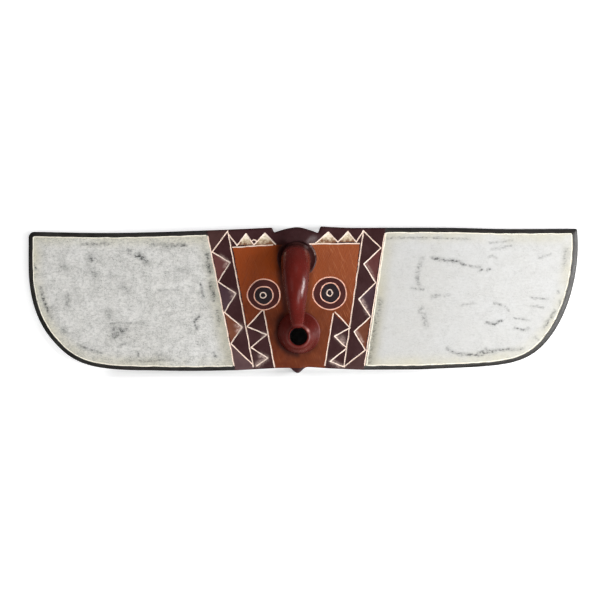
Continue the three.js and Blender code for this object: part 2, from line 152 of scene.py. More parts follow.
# Marks that the wings' white paint carries, by their places in the photograph, in its pixels:
# the points that each smear follows, its width and how dark it is
PHOTO_MIDDLE = (303.25, 299.68)
MM_PER_PIXEL = 1.292
SMEARS = [
    ([(91, 257), (92, 259)], 2.6, 0.8),
    ([(129, 250), (130, 254)], 2.0, 0.55),
    ([(137, 255.5), (142, 257), (147, 262)], 2.2, 1.0),
    ([(92, 271), (96, 275)], 2.8, 0.5),
    ([(62, 266), (67, 268)], 2.4, 0.3),
    ([(112, 275), (117, 278)], 2.4, 0.35),
    ([(122, 286), (127, 289)], 3.2, 0.4),
    ([(67.8, 296), (68.3, 305)], 2.6, 0.5),
    ([(108, 311), (110, 318)], 2.6, 0.4),
    ([(111, 323.4), (128, 323), (145, 322.7)], 0.9, 0.5),
    ([(113, 328), (126, 330), (115, 335)], 2.6, 0.75),
    ([(118, 345.5), (124, 344), (131, 343.6)], 1.2, 0.45),
    ([(138.6, 352), (138.8, 356)], 1.2, 0.6),
    ([(78.7, 345), (90, 349.5), (101.5, 352.7)], 1.3, 0.6),
    ([(127, 360.3), (150, 360.8), (173, 359.7)], 1.5, 0.45),
    ([(157, 354), (170, 359)], 2.4, 0.35),
    ([(41, 288), (43, 297), (47, 308), (51, 317)], 1.4, 0.85),
    ([(63, 329), (67, 333.5)], 1.6, 0.55),
    ([(82, 244.2), (96, 244.6), (109, 243.5)], 1.3, 0.55),
    ([(152, 244), (170, 245.5), (186, 245.3)], 1.5, 0.75),
    ([(168, 246.5), (174, 246.5)], 2.0, 0.7),
    ([(208, 256), (209, 263), (210.4, 272)], 2.2, 1.0),
    ([(211.3, 284), (212.6, 291), (214, 299)], 1.9, 1.0),
    ([(217.5, 311), (219.2, 321)], 1.6, 0.7),
    ([(201, 284), (203.8, 297)], 1.0, 0.75),
    ([(200, 315.5), (194.7, 321.5), (196.8, 328.4)], 1.0, 1.0),
    ([(179, 270), (187, 272)], 2.4, 0.3),
    ([(159, 290.3), (178, 290)], 0.9, 0.35),
    ([(160, 314.4), (173, 314.2)], 0.9, 0.35),
    ([(213.5, 353), (215.5, 356)], 1.5, 0.6),
    ([(32.3, 263), (36.8, 268.8)], 0.7, 1.0),
    ([(52.3, 307), (52.8, 308)], 0.8, 0.6),
    ([(80.4, 336), (80.9, 337.4)], 0.8, 0.5),
    # On the right wing
    ([(432, 258), (445, 260.4), (456, 261.3), (463, 264)], 1.3, 0.95),
    ([(463, 264.6), (472, 266.4), (480, 266.8)], 0.9, 0.55),
    ([(479.6, 271), (481.4, 269.8)], 1.0, 1.0),
    ([(487, 270.4), (489.6, 269)], 0.9, 0.75),
    ([(488, 257), (492, 256), (495.7, 258.4)], 0.8, 0.4),
    ([(491, 249.6), (500, 248), (511, 245.4)], 0.9, 0.45),
    ([(489, 243), (500, 242), (512, 240.4)], 0.8, 0.35),
    ([(538, 258.4), (544, 256), (550.5, 254.4)], 0.8, 0.5),
    ([(421.7, 259), (417, 272), (417, 280), (419.5, 289)], 1.8, 0.45),
    ([(411.5, 288), (423, 289.2)], 1.0, 0.6),
    ([(431.5, 297), (438.6, 295)], 1.2, 0.7),
    ([(444, 295.6), (448, 294.8)], 0.9, 0.5),
    ([(418.6, 311), (422, 307.6)], 1.2, 0.6),
    ([(423, 314), (425.5, 325)], 2.2, 0.4),
    ([(461, 305.4), (475, 303)], 0.8, 0.4),
    ([(494, 303.3), (501, 305)], 0.9, 0.6),
    ([(504.6, 306.7), (508.6, 311)], 0.7, 0.5),
    ([(486.5, 322.6), (494.4, 324.2), (501, 320.6)], 1.0, 1.0),
    ([(513.5, 318), (529, 320.2)], 0.7, 0.5),
    ([(514.6, 327.6), (522.4, 330), (529, 328.2)], 0.9, 0.75),
    ([(531, 297.6), (548, 299.2)], 0.7, 0.6),
    ([(531, 306), (543, 307.5)], 0.7, 0.5),
    ([(565.8, 250), (564, 264)], 1.9, 0.4),
    ([(559.4, 301), (560.2, 305)], 0.9, 1.0),
    ([(557.8, 291), (558.6, 293)], 0.8, 0.7),
    ([(554.6, 311), (549, 320), (543.5, 327.6)], 1.3, 0.6),
    ([(535, 337), (538, 340)], 1.1, 0.5),
    ([(447, 348.6), (457, 353.8), (479, 355.2), (494.4, 350.4), (522, 348.6)], 1.2, 0.75),
    ([(478, 353.4), (486, 349.6), (493, 352.6)], 1.4, 0.7),
    ([(385, 238.6), (420, 237.8), (469, 239.2)], 0.8, 0.5),
    ([(379.5, 301), (375, 325), (371, 345), (368.6, 362)], 2.6, 0.5),
]

# White rubbed into the points of the chips, in the photograph's pixels, as for the smears, and last a
# painted highlight on the collar's right edge
RUBS_AND_EDGE_HIGHLIGHT = [
    ([(222.5, 257.5), (228.2, 262.2), (225.4, 266.4)], 1.5, 0.75),
    ([(231.5, 291.2), (234.8, 293.4), (232.6, 297)], 1.6, 0.65),
    ([(237.2, 325), (241, 326.8), (238.2, 330.6)], 1.8, 1.0),
    ([(221, 256), (222.5, 258)], 1.4, 0.5),
    ([(262.8, 333), (266.5, 334), (263, 336.6)], 1.2, 0.5),
    ([(261, 355.5), (266.4, 358), (262, 361.4), (257.6, 364.6)], 2.0, 0.85),
    ([(367, 264.8), (371, 272), (374, 279)], 1.0, 0.5),
    ([(361.4, 299.6), (364.6, 305), (367.4, 313)], 1.5, 0.95),
    ([(356.6, 331.8), (359, 336), (362.4, 341.6)], 1.1, 0.9),
    ([(336.6, 336.4), (340, 339), (343.4, 343.6)], 1.7, 1.0),
    ([(331.6, 361), (335.6, 363.4), (340.6, 366)], 1.7, 1.0),
    ([(342, 336), (344, 339.6)], 1.6, 0.5),
    # Painted highlight along the collar's lit right edge, partly rubbed paint
    ([(310.4, 246.4), (313, 249.6), (315.3, 254.6)], 0.4, 1.0),
]

# Painted shadow of the beak and the mouth: dark in the paint left of the beak and round the mouth's foot
PAINTED_SHADOWS = [
    ([(280.5, 247), (280.5, 262), (281.5, 280), (284, 297), (286, 311)], 4.2, 0.95),
    ([(284, 313), (279, 321), (277.5, 332), (280, 343), (287, 351), (297, 354)], 3, 0.9),
    ([(297, 354), (308, 352), (316, 345.5)], 2.2, 0.45),
    ([(311, 271), (309, 290), (306.5, 308)], 2.2, 0.35),
]


def from_photo(places):
    """Places in the photograph's pixels as millimetres on the mask."""
    middle = np.array(PHOTO_MIDDLE)
    return (np.array(places, float) - middle) * (MM_PER_PIXEL, -MM_PER_PIXEL)


# Curves and paths
CURVE_STEPS = 60


def straight(points):
    """A straight path between two points."""
    share = np.linspace(0, 1, CURVE_STEPS + 1)[:, None]
    return (1 - share) * points[0] + share * points[1]


def spline(points):
    """A smooth path through points."""
    last = len(points) - 1
    at = np.linspace(0, last, CURVE_STEPS * last + 1)
    piece = np.minimum(at.astype(int), last - 1)
    t = (at - piece)[:, None]
    before, start, end = points[np.maximum(piece - 1, 0)], points[piece], points[piece + 1]
    after = points[np.minimum(piece + 2, last)]
    leave, arrive = (end - before) / 2, (after - start) / 2
    cubic = 2 * start - 2 * end + leave + arrive
    square = 3 * end - 3 * start - 2 * leave - arrive
    return cubic * t**3 + square * t**2 + leave * t + start


def bezier(points):
    """A cubic curve from the first point to the last, pulled towards the two between."""
    t = np.linspace(0, 1, CURVE_STEPS + 1)[:, None]
    a, b, c, d = points
    return a * (1 - t) ** 3 + 3 * b * t * (1 - t) ** 2 + 3 * c * t**2 * (1 - t) + d * t**3


# The outline, anticlockwise from the top right corner
OUTLINE = [
    (spline, [[354, 91.8], [260, 91.3], [190, 92.8], [107.2, 92.8]]),
    (spline, [[106.1, 92.8], [65, 92.6], [45, 93.2], [22.3, 94.5]]),
    (straight, [[22.3, 94.5], [18.9, 85.8]]),
    (spline, [[18.9, 85.8], [8.6, 89.6], [-6.5, 93.3], [-22.4, 91.2], [-37.6, 86.5]]),
    (straight, [[-37.6, 86.5], [-40.2, 93]]),
    (spline, [[-40.2, 93], [-55, 92.2], [-85, 90.8], [-124.4, 89.3]]),
    (spline, [[-125.5, 89.3], [-190, 87.2], [-262, 86.2], [-350.4, 87.8]]),
    (straight, [[-350.4, 87.8], [-HALF_SPAN, 83.3]]),
    (straight, [[-HALF_SPAN, 83.3], [-HALF_SPAN, 45.4]]),
    (bezier, [[-HALF_SPAN, 45.4], [-HALF_SPAN, 0], [-342.9, -30.2], [-325.3, -50.9]]),
    (bezier, [[-325.3, -50.9], [-297.2, -84.3], [-274.5, -91.2], [-198, -91.2]]),
    (spline, [[-198, -91.2], [-146.3, -91.9], [-88.7, -91]]),
    (spline, [[-87.6, -91], [-43, -88.6], [-30, -88], [-16.8, -88]]),
    (straight, [[-16.8, -88], [-9.8, -93.8]]),
    (spline, [[-9.8, -93.8], [-7.5, -94.65], [-5.2, -94]]),
    (straight, [[-5.2, -94], [2.6, -87.4]]),
    (spline, [[2.6, -87.4], [8.7, -86.9], [34.6, -88.6], [78, -90.3]]),
    (spline, [[79.1, -90.3], [125, -90.1], [150.8, -90]]),
    (bezier, [[150.8, -90], [240, -85.9], [269.8, -87.3], [297.8, -69.1]]),
    (bezier, [[297.8, -69.1], [329.4, -47.2], [353, 5.5], [HALF_SPAN, 66]]),
    (spline, [[HALF_SPAN, 66], [354.75, 80], [354, 91.8]]),
]
CORNER_SOFTENING = 1  # rounds that wear the outline's corners


def lengths_along(path):
    """How far along a path each of its corners lies."""
    return np.concatenate([[0], np.cumsum(np.hypot(*np.diff(path, axis=0).T))])


def even(path, spacing):
    """The same path with corners about spacing apart."""
    along = lengths_along(path)
    marks = np.linspace(0, along[-1], max(1, round(along[-1] / spacing)) + 1)
    return np.column_stack([np.interp(marks, along, column) for column in path.T])


def right_of(points, line):
    """How far points lie to the viewer's right of a line that runs down the mask."""
    top, foot = np.array(line, float)
    along = (foot - top) / np.hypot(*(foot - top))
    return (points[:, 1] - top[1]) * along[0] - (points[:, 0] - top[0]) * along[1]


def past_wing_lines(points):
    """How far points lie out on a wing, below zero on the face."""
    return np.maximum(-right_of(points, LEFT_WING_LINE), right_of(points, RIGHT_WING_LINE))


def outline_loop():
    """The outline's corners, closer together round the face, with worn corners."""
    runs = []
    for curve, points in OUTLINE:
        path = curve(np.array(points, float))
        on_face = past_wing_lines(path).max() < 1
        runs.append(even(path, FACE_STEP if on_face else WING_STEP)[:-1])
    loop = np.vstack(runs)
    for _ in range(CORNER_SOFTENING):
        loop = (np.roll(loop, 1, axis=0) + 2 * loop + np.roll(loop, -1, axis=0)) / 4
    return loop


def inside(loop, points):
    """Which points lie inside a closed loop."""
    x, y = points.T
    odd = np.zeros(len(points), bool)
    for (ax, ay), (bx, by) in zip(loop, np.roll(loop, -1, axis=0)):
        crosses = (ay > y) != (by > y)
        if crosses.any():
            odd ^= crosses & (x < ax + (y - ay) * (bx - ax) / (by - ay))
    return odd


def distance_to(path, points, closed=False):
    """Each point's distance to a path, and the nearest place on it as a corner's number."""
    ends = np.roll(path, -1, axis=0) if closed else path[1:]
    nearest = np.full(len(points), np.inf)
    place = np.zeros(len(points))
    for number, (a, b) in enumerate(zip(path, ends)):
        share = np.clip((points - a) @ (b - a) / ((b - a) @ (b - a)), 0, 1)
        away = np.hypot(*(points - a - share[:, None] * (b - a)).T)
        nearer = away < nearest
        nearest[nearer] = away[nearer]
        place[nearer] = number + share[nearer]
    return nearest, place


def close_by(path, points, reach):
    """Which points lie within reach of the box round a path."""
    low, high = path.min(axis=0) - reach, path.max(axis=0) + reach
    return ((points > low) & (points < high)).all(axis=1)


def normals_of(path, closed=False):
    """The unit direction to the left of travel at each corner of a path."""
    if closed:
        ahead = np.roll(path, -1, axis=0) - np.roll(path, 1, axis=0)
    else:
        ahead = np.gradient(path, axis=0)
    ahead /= np.hypot(*ahead.T)[:, None]
    return np.column_stack([-ahead[:, 1], ahead[:, 0]])


def rim_widths(outline):
    """How wide the rim is at each of the outline's corners."""
    across, up = -normals_of(outline, closed=True).T
    upright = np.where(up > 0, RIM["up"], RIM["down"])
    sideways = np.where(across > 0, RIM["right"], RIM["left"])
    return upright * up**2 + sideways * across**2


def along_loop(values, place):
    """What a value that each corner of a closed loop carries comes to at places on the loop."""
    return np.interp(place, np.arange(len(values) + 1), np.append(values, values[0]))


DISTANCE_SLACK = 0.06  # how much of its distance a moved corner may lose


def moved_in(loop, distance):
    """A closed loop moved inwards, as the runs of corners that keep their distance."""
    moved = loop + distance * normals_of(loop, closed=True)
    away, _ = distance_to(loop, moved, closed=True)
    good = away > distance - DISTANCE_SLACK
    first = int(np.argmin(good))
    moved, good = np.roll(moved, -first, axis=0), np.roll(good, -first)
    ends = np.flatnonzero(np.diff(good)) + 1
    runs = zip(np.split(moved, ends), np.split(good, ends))
    return [run for run, kept in runs if kept[0] and len(run) > 1]


# Smooth unevenness, the same every time
WAVES = 7
WAVE_LENGTHS = (0.6, 1.7)  # the shortest and the longest wave, as shares of the size asked for
WAVE_PEAK = 1.4  # brings the sum of the waves down to about one
# Where the random draws of each part begin
FRONT_SEED = 40
WALL_SEED = 60
NICK_SEED = 90
EYE_SEED = 200
RIM_SEED = 300
WIDTH_SEED = 500


def waves(places, size, seed):
    """Smooth random waves about size across over a list of places, between about -1 and 1."""
    random = np.random.default_rng(seed)
    places = np.atleast_2d(places.T).T
    total = np.zeros(len(places))
    for _ in range(WAVES):
        heading = random.normal(size=places.shape[1])
        heading /= np.linalg.norm(heading)
        length = size * random.uniform(*WAVE_LENGTHS)
        total += np.sin(places @ heading * math.tau / length + random.uniform(0, math.tau))
    return total / math.sqrt(WAVES) / WAVE_PEAK


def ease(share):
    """Turns a share from 0 to 1 into a smooth step."""
    share = np.clip(share, 0, 1)
    return share * share * (3 - 2 * share)


def between(value, start, end):
    """How far a value is on its way from a start to an end, as a smooth step."""
    return ease((value - start) / (end - start))


# Incised lines
LINE_WAVER = 0.25  # how far a line strays sideways
WIDTH_WAVER = 0.14  # share by which its width varies
STRAY_SIZE = 24  # how long the waves of its straying are, and those of its width
SWELL_SIZE = 13
STRAY_FADE = 6  # how far from its ends it strays fully
OUTLINE_GAP = 1.4  # a line's middle stops this far inside the outline


class Line:
    """One incised line: its middle and half its width along it."""

    def __init__(self, path, seed, width=LINE_WIDTH, closed=False):
        path = even(np.array(path, float), LINE_STEP)
        if closed:
            path = path[:-1]
        along = lengths_along(path)
        fade = 1 if closed else ease(np.minimum(along, along[-1] - along) / STRAY_FADE)
        stray = waves(along[:, None], STRAY_SIZE, seed) * LINE_WAVER * fade
        if closed:
            stray = (stray + stray[::-1]) / 2
        self.middle = path + stray[:, None] * normals_of(path, closed)
        swell = WIDTH_WAVER * waves(along[:, None], SWELL_SIZE, seed + WIDTH_SEED)
        self.half = width / 2 * (1 + swell)
        self.closed = closed

    def kept_inside(self, outline, gaps):
        """Shortens the line where it would come nearer the outline than a gap."""
        away, place = distance_to(outline, self.middle, closed=True)
        kept = inside(outline, self.middle) & (away > along_loop(gaps, place))
        self.middle, self.half = self.middle[kept], self.half[kept]
        return self

    def rails(self):
        """The paths that the surface follows: the line's middle and its two edges."""
        out = self.half[:, None] * normals_of(self.middle, self.closed)
        edges = [self.middle + out, self.middle - out]
        if not self.closed:
            caps = []
            for end, beyond in ((0, 1), (-1, -2)):
                ahead = self.middle[end] - self.middle[beyond]
                caps.append(self.middle[end] + ahead / np.hypot(*ahead) * self.half[end])
            edges = [np.array([caps[0], *edge, caps[1]]) for edge in edges]
        return [(path, self.closed) for path in (self.middle, *edges)]

    def cut(self, points):
        """How deep the line is cut at each point."""
        near = close_by(self.middle, points, LINE_WIDTH)
        depth = np.zeros(len(points))
        if near.any():
            away, place = distance_to(self.middle, points[near], self.closed)
            half = np.interp(place, np.arange(len(self.half)), self.half)
            depth[near] = LINE_DEPTH * np.clip(1 - away / half, 0, 1)
        return depth


class Chip:
    """A triangle cut down from its base to its apex."""

    def __init__(self, first, second, apex):
        self.corners = np.array([first, second, apex], float)

    def share(self, points):
        """How far each point lies on the way from the chip's base to its apex."""
        first, second, apex = self.corners
        base = second - first
        return np.cross(base, points - first) / np.cross(base, apex - first)

    def cut(self, points):
        """How deep the chip is cut at each point."""
        depth = np.zeros(len(points))
        near = inside(self.corners, points)
        if near.any():
            away, _ = distance_to(self.corners, points[near], closed=True)
            wall = np.clip(away / CHIP_WALL, 0, 1)
            slope = (CHIP_DEPTH - CHIP_START) * self.share(points[near])
            depth[near] = wall * (CHIP_START + slope)
        return depth


def zigzag(apex_line, foot_line, apexes, feet, apex_gap, foot_gap):
    """The corners of a zigzag between two lines, from the top down: apex, foot, apex and so on."""

    def on(line, y, gap):
        top, end = line
        share = (top[1] - y) / (top[1] - end[1])
        return [top[0] + share * (end[0] - top[0]) + gap, y]

    outward = math.copysign(1, foot_line[0][0] - apex_line[0][0])
    corners = [on(apex_line, apexes[0], 0)]
    for foot, apex in zip(feet, apexes[1:]):
        corners.append(on(foot_line, foot, -outward * foot_gap))
        corners.append(on(apex_line, apex, 0 if apex == apexes[-1] else outward * apex_gap))
    return corners


def chips_of(corners, first_foot):
    """The chips of a zigzag, between each pair of feet."""
    feet = range(first_foot, len(corners) - 2, 2)
    return [Chip(corners[i], corners[i + 2], corners[i + 1]) for i in feet]


LEFT_ZIGZAG = zigzag(LEFT_BAND_LINE, LEFT_WING_LINE, **LEFT_TEETH)
RIGHT_ZIGZAG = zigzag(RIGHT_BAND_LINE, RIGHT_WING_LINE, **RIGHT_TEETH)
RING_LOBES = [(3, 0.012), (5, 0.01)]  # how a hand-drawn ring strays from an ellipse
RING_GROWTH = 0.5  # by what share each ring further in strays more


def eye_ring(eye, number, seed):
    """One ring of an eye, drawn by hand."""
    x, y, half_width, half_height = eye[number]
    random = np.random.default_rng(seed)
    turn = np.linspace(0, math.tau, CURVE_STEPS * 2 + 1)
    swell = np.ones(len(turn))
    for lobes, size in RING_LOBES:
        wave = np.sin(lobes * turn + random.uniform(0, math.tau))
        swell += size * (1 + RING_GROWTH * number) * wave
    path = [x + half_width * swell * np.cos(turn), y + half_height * swell * np.sin(turn)]
    return Line(np.column_stack(path), seed, closed=True)


RIM_SLACK = 0.3  # how much of the rim's width its line may lose
BORDER_GAP = 0.4  # how near the rim's line comes to the border of the face


def rim_lines(outline):
    """The lines between the wings' rims and their white fields, one for each wing."""
    widths = rim_widths(outline)
    moved = outline + widths[:, None] * normals_of(outline, closed=True)
    away, _ = distance_to(outline, moved, closed=True)
    lines = []
    for number, (side, border) in enumerate(((-1, LEFT_WING_LINE), (1, RIGHT_WING_LINE))):
        good = (away > widths - RIM_SLACK) & (side * right_of(moved, border) > BORDER_GAP)
        start = int(np.flatnonzero(~good & np.roll(good, -1))[0]) + 1
        order = np.roll(np.arange(len(outline)), -start)
        lines.append(Line([moved[i] for i in order if good[i]], RIM_SEED + number))
    return lines


# The front's height
EDGE_BLEND = 1  # how far the face's edge and a wing's edge run into each other
BROAD_WAVES = (70, 0.16)  # size and height of the slow unevenness left by the adze
FINE_WAVES = (11, 0.05)


def round_collar(points):
    """Each point's distance from the collar's middle, and its turn from straight up in degrees."""
    across, up = (points - COLLAR_MIDDLE).T
    return np.hypot(across, up), np.degrees(np.arctan2(np.abs(across), up))


def crown_height(points):
    """How far the crown and the collar stand above the board."""
    reach, turn = round_collar(points)
    low, high = CROWN_SHOULDERS
    crown = between(turn, high, low)
    on_crown = np.interp(reach, *np.transpose(CROWN_PROFILE))
    on_collar = np.interp(reach, *np.transpose(COLLAR_PROFILE))
    return crown * on_crown + (1 - crown) * on_collar


def front_height(points, outline, lines, chips):
    """The front's height at each point, with its edges, incised lines and chips."""
    past = past_wing_lines(points)
    edge, _ = distance_to(outline, points, closed=True)
    wing = ease(past / EDGE_BLEND / 2 + 0.5)
    level = BOARD - WING_SLOPE * np.maximum(past, 0)
    drop = wing * np.interp(edge, *np.transpose(WING_EDGE))
    drop += (1 - wing) * np.interp(edge, *np.transpose(FACE_EDGE))
    for number, (size, height) in enumerate((BROAD_WAVES, FINE_WAVES)):
        level += height * waves(points, size, FRONT_SEED + number)
    carved = np.zeros(len(points))
    for cutter in [*lines, *chips]:
        carved = np.maximum(carved, cutter.cut(points))
    return level - drop - carved + crown_height(points)


SMEAR_SPREAD = 1.25  # how far a smear fades out, as a share of its width


def smeared(points, smears):
    """How strongly a list of smears marks each point."""
    total = np.zeros(len(points))
    for places, width, strength in smears:
        path = from_photo(places)
        reach = SMEAR_SPREAD * width * MM_PER_PIXEL
        near = close_by(path, points, 3 * reach)
        if near.any():
            away, _ = distance_to(path, points[near])
            total[near] = np.maximum(total[near], strength * np.exp(-((away / reach) ** 2)))
    return total


# Sheets of triangles
def hexagonal(low, high, spacing):
    """Evenly spread points over a rectangle."""
    rise = spacing * math.sqrt(3) / 2
    rows = np.arange(low[1], high[1], rise)
    columns = np.arange(low[0], high[0], spacing)
    x, y = np.meshgrid(columns, rows)
    x[1::2] += spacing / 2
    return np.column_stack([x.ravel(), y.ravel()])


def clear_of(points, others, distance):
    """The points that keep their distance from others."""
    tree = kdtree.KDTree(len(others))
    for number, place in enumerate(others):
        tree.insert((*place, 0), number)
    tree.balance()
    return points[[tree.find((*place, 0))[2] > distance for place in points]]


def sheet(loop, paths, fill):
    """Triangles that fill a loop and keep every path as an edge: corners, triangles, and the
    number of each of the loop's corners."""
    places, edges = [], []
    for path, closed in [(loop, True), *paths]:
        first = len(places)
        places.extend(path)
        edges.extend((first + i, first + i + 1) for i in range(len(path) - 1))
        if closed:
            edges.append((first + len(path) - 1, first))
    places.extend(fill)
    found = delaunay_2d_cdt([Vector(place) for place in places], edges, [], 0, 1e-4)
    corners = np.array([corner[:] for corner in found[0]])
    triangles = np.array(found[2])
    triangles = triangles[inside(loop, corners[triangles].mean(axis=1))]
    new_number = {old: new for new, olds in enumerate(found[3]) for old in olds}
    return corners, triangles, [new_number[i] for i in range(len(loop))]


FACE_MARGIN = 3.4  # how far loose points stay off the outline, on the face and on the wings
WING_MARGIN = 8
CLEARANCE = 0.6  # how far they stay off the paths, as a share of their spacing
SMEARED = 0.06  # a point is in a smear where it is marked more strongly than this


def front_fill(outline, taken):
    """The loose points of the front sheet, closest together on the face and in the smears."""
    low, high = outline.min(axis=0), outline.max(axis=0)
    kept = []
    for spacing in (FACE_STEP, WING_STEP, SMUDGE_STEP):
        points = hexagonal(low, high, spacing)
        on_wing = past_wing_lines(points) > 0
        if spacing == FACE_STEP:
            points, margin = points[~on_wing], FACE_MARGIN
        else:
            points, margin = points[on_wing], WING_MARGIN
            marked = smeared(points, SMEARS) > SMEARED
            points = points[marked if spacing == SMUDGE_STEP else ~marked]
        points = points[inside(outline, points)]
        edge, _ = distance_to(outline, points, closed=True)
        kept.append(clear_of(points[edge > margin], taken, spacing * CLEARANCE))
    return np.vstack(kept)


# Meshes
def placed(name, data):
    """A new object in the scene."""
    made = bpy.data.objects.new(name, data)
    bpy.context.scene.collection.objects.link(made)
    return made


def make_object(name, corners, edges, faces):
    """A new object with a mesh in metres, from corners in millimetres."""
    mesh = bpy.data.meshes.new(name)
    mesh.from_pydata([tuple(corner) for corner in np.array(corners) * MM], edges, faces)
    return placed(name, mesh)


def applied(host):
    """The plain mesh that an object's modifiers make."""
    ready = host.evaluated_get(bpy.context.evaluated_depsgraph_get())
    return bpy.data.meshes.new_from_object(ready)


def store(mesh, name, values, kind="FLOAT", field="value"):
    """Keeps one number, or one vector, for each corner of a mesh."""
    layer = mesh.attributes.new(name, kind, "POINT")
    layer.data.foreach_set(field, np.asarray(values, np.float32).ravel())


def add(tree, kind, inputs=None, **settings):
    """A new node with its settings, and its inputs linked or set."""
    made = tree.nodes.new(kind)
    for name, value in settings.items():
        setattr(made, name, value)
    for key, value in (inputs or {}).items():
        if isinstance(value, bpy.types.NodeSocket):
            tree.links.new(value, made.inputs[key])
        else:
            made.inputs[key].default_value = value
    return made


def first_of(tree, kind, inputs=None, **settings):
    """The first output of a new node."""
    return add(tree, kind, inputs, **settings).outputs[0]


def maths(tree, operation, *values, clamp=False):
    """The result of one sum."""
    inputs = dict(enumerate(values))
    return first_of(tree, "ShaderNodeMath", inputs, operation=operation, use_clamp=clamp)


def vectors(tree, operation, vector, second):
    """The result of one sum with two vectors."""
    return first_of(tree, "ShaderNodeVectorMath", {0: vector, 1: second}, operation=operation)


def scaled(tree, vector, amount):
    """A vector made longer or shorter."""
    inputs = {0: vector, "Scale": amount}
    return first_of(tree, "ShaderNodeVectorMath", inputs, operation="SCALE")


def parts_of(tree, vector):
    """The X, Y and Z of a vector."""
    return add(tree, "ShaderNodeSeparateXYZ", {0: vector}).outputs


def inverse(tree, size):
    """One divided by a size, which is how closely a texture repeats."""
    return maths(tree, "DIVIDE", 1.0, size)


def new_tree(name, kind, inputs, outputs):
    """An empty node group with named inputs and outputs."""
    tree = bpy.data.node_groups.new(name, kind)
    for label, socket, value in inputs:
        made = tree.interface.new_socket(label, in_out="INPUT", socket_type=f"NodeSocket{socket}")
        if value is not None:
            made.default_value = value
    for label, socket in outputs:
        tree.interface.new_socket(label, in_out="OUTPUT", socket_type=f"NodeSocket{socket}")
    return tree, add(tree, "NodeGroupInput").outputs, add(tree, "NodeGroupOutput").inputs


def grown(host, tree, values):
    """The plain mesh that a geometry tree makes from a host object."""
    modifier = host.modifiers.new(tree.name, "NODES")
    modifier.node_group = tree
    for item in tree.interface.items_tree:
        if item.in_out == "INPUT" and item.name in values:
            modifier[item.identifier] = values[item.name]
    mesh = applied(host)
    host.modifiers.remove(modifier)
    return mesh


def carried(tree, name, kind="FLOAT"):
    """The number or vector of a name that the corners of a mesh carry."""
    return first_of(tree, "GeometryNodeInputNamedAttribute", {"Name": name}, data_type=kind)


def noise(tree, place, size, seed):
    """Smooth noise of about a size: its number and its colour."""
    inputs = {"Vector": place, "W": seed, "Scale": inverse(tree, size), "Detail": 1.0}
    return add(tree, "ShaderNodeTexNoise", inputs, noise_dimensions="4D").outputs


def moved(tree, surface, offset):
    """A surface with its corners moved by an offset."""
    return first_of(tree, "GeometryNodeSetPosition", {"Geometry": surface, "Offset": offset})


def finished(tree, form, paint, result):
    """Ends a tree with its form made real and painted."""
    real = first_of(tree, "GeometryNodeRealizeInstances", {"Geometry": form})
    painted = first_of(tree, "GeometryNodeSetMaterial", {"Geometry": real, "Material": paint})
    tree.links.new(painted, result)
    return tree


def beak_tree():
    """Sweeps a round, knife-cut section along a path whose corners carry a half width."""
    tree, given, result = new_tree(
        "swept_beak",
        "GeometryNodeTree",
        [
            ("Path", "Geometry", None),
            ("Steps", "Int", 100),
            ("Sides", "Int", 64),
            ("Cut Depth", "Float", 0.0005),
            ("Cut Size", "Float", 0.012),
            ("Seed", "Float", 3.0),
            ("Paint", "Material", None),
        ],
        [("Beak", "Geometry")],
    )
    path = first_of(tree, "GeometryNodeMeshToCurve", {"Mesh": given["Path"]})
    smooth = first_of(tree, "GeometryNodeCurveSplineType", {"Curve": path}, spline_type="CATMULL_ROM")
    steps = {"Curve": smooth, "Count": given["Steps"]}
    section = {"Resolution": given["Sides"], "Radius": 1.0}
    sweep = {
        "Curve": first_of(tree, "GeometryNodeResampleCurve", steps),
        "Profile Curve": first_of(tree, "GeometryNodeCurvePrimitiveCircle", section),
        "Scale": carried(tree, "half_width"),
        "Fill Caps": True,
    }
    swept = first_of(tree, "GeometryNodeCurveToMesh", sweep)
    place = first_of(tree, "GeometryNodeInputPosition")
    stretched = vectors(tree, "MULTIPLY", place, (1.0, 0.28, 0.8))
    cuts = noise(tree, stretched, given["Cut Size"], given["Seed"])
    depth = maths(tree, "MULTIPLY", cuts["Fac"], given["Cut Depth"])
    cut = moved(tree, swept, scaled(tree, first_of(tree, "GeometryNodeInputNormal"), depth))
    return finished(tree, cut, given["Paint"], result["Beak"])


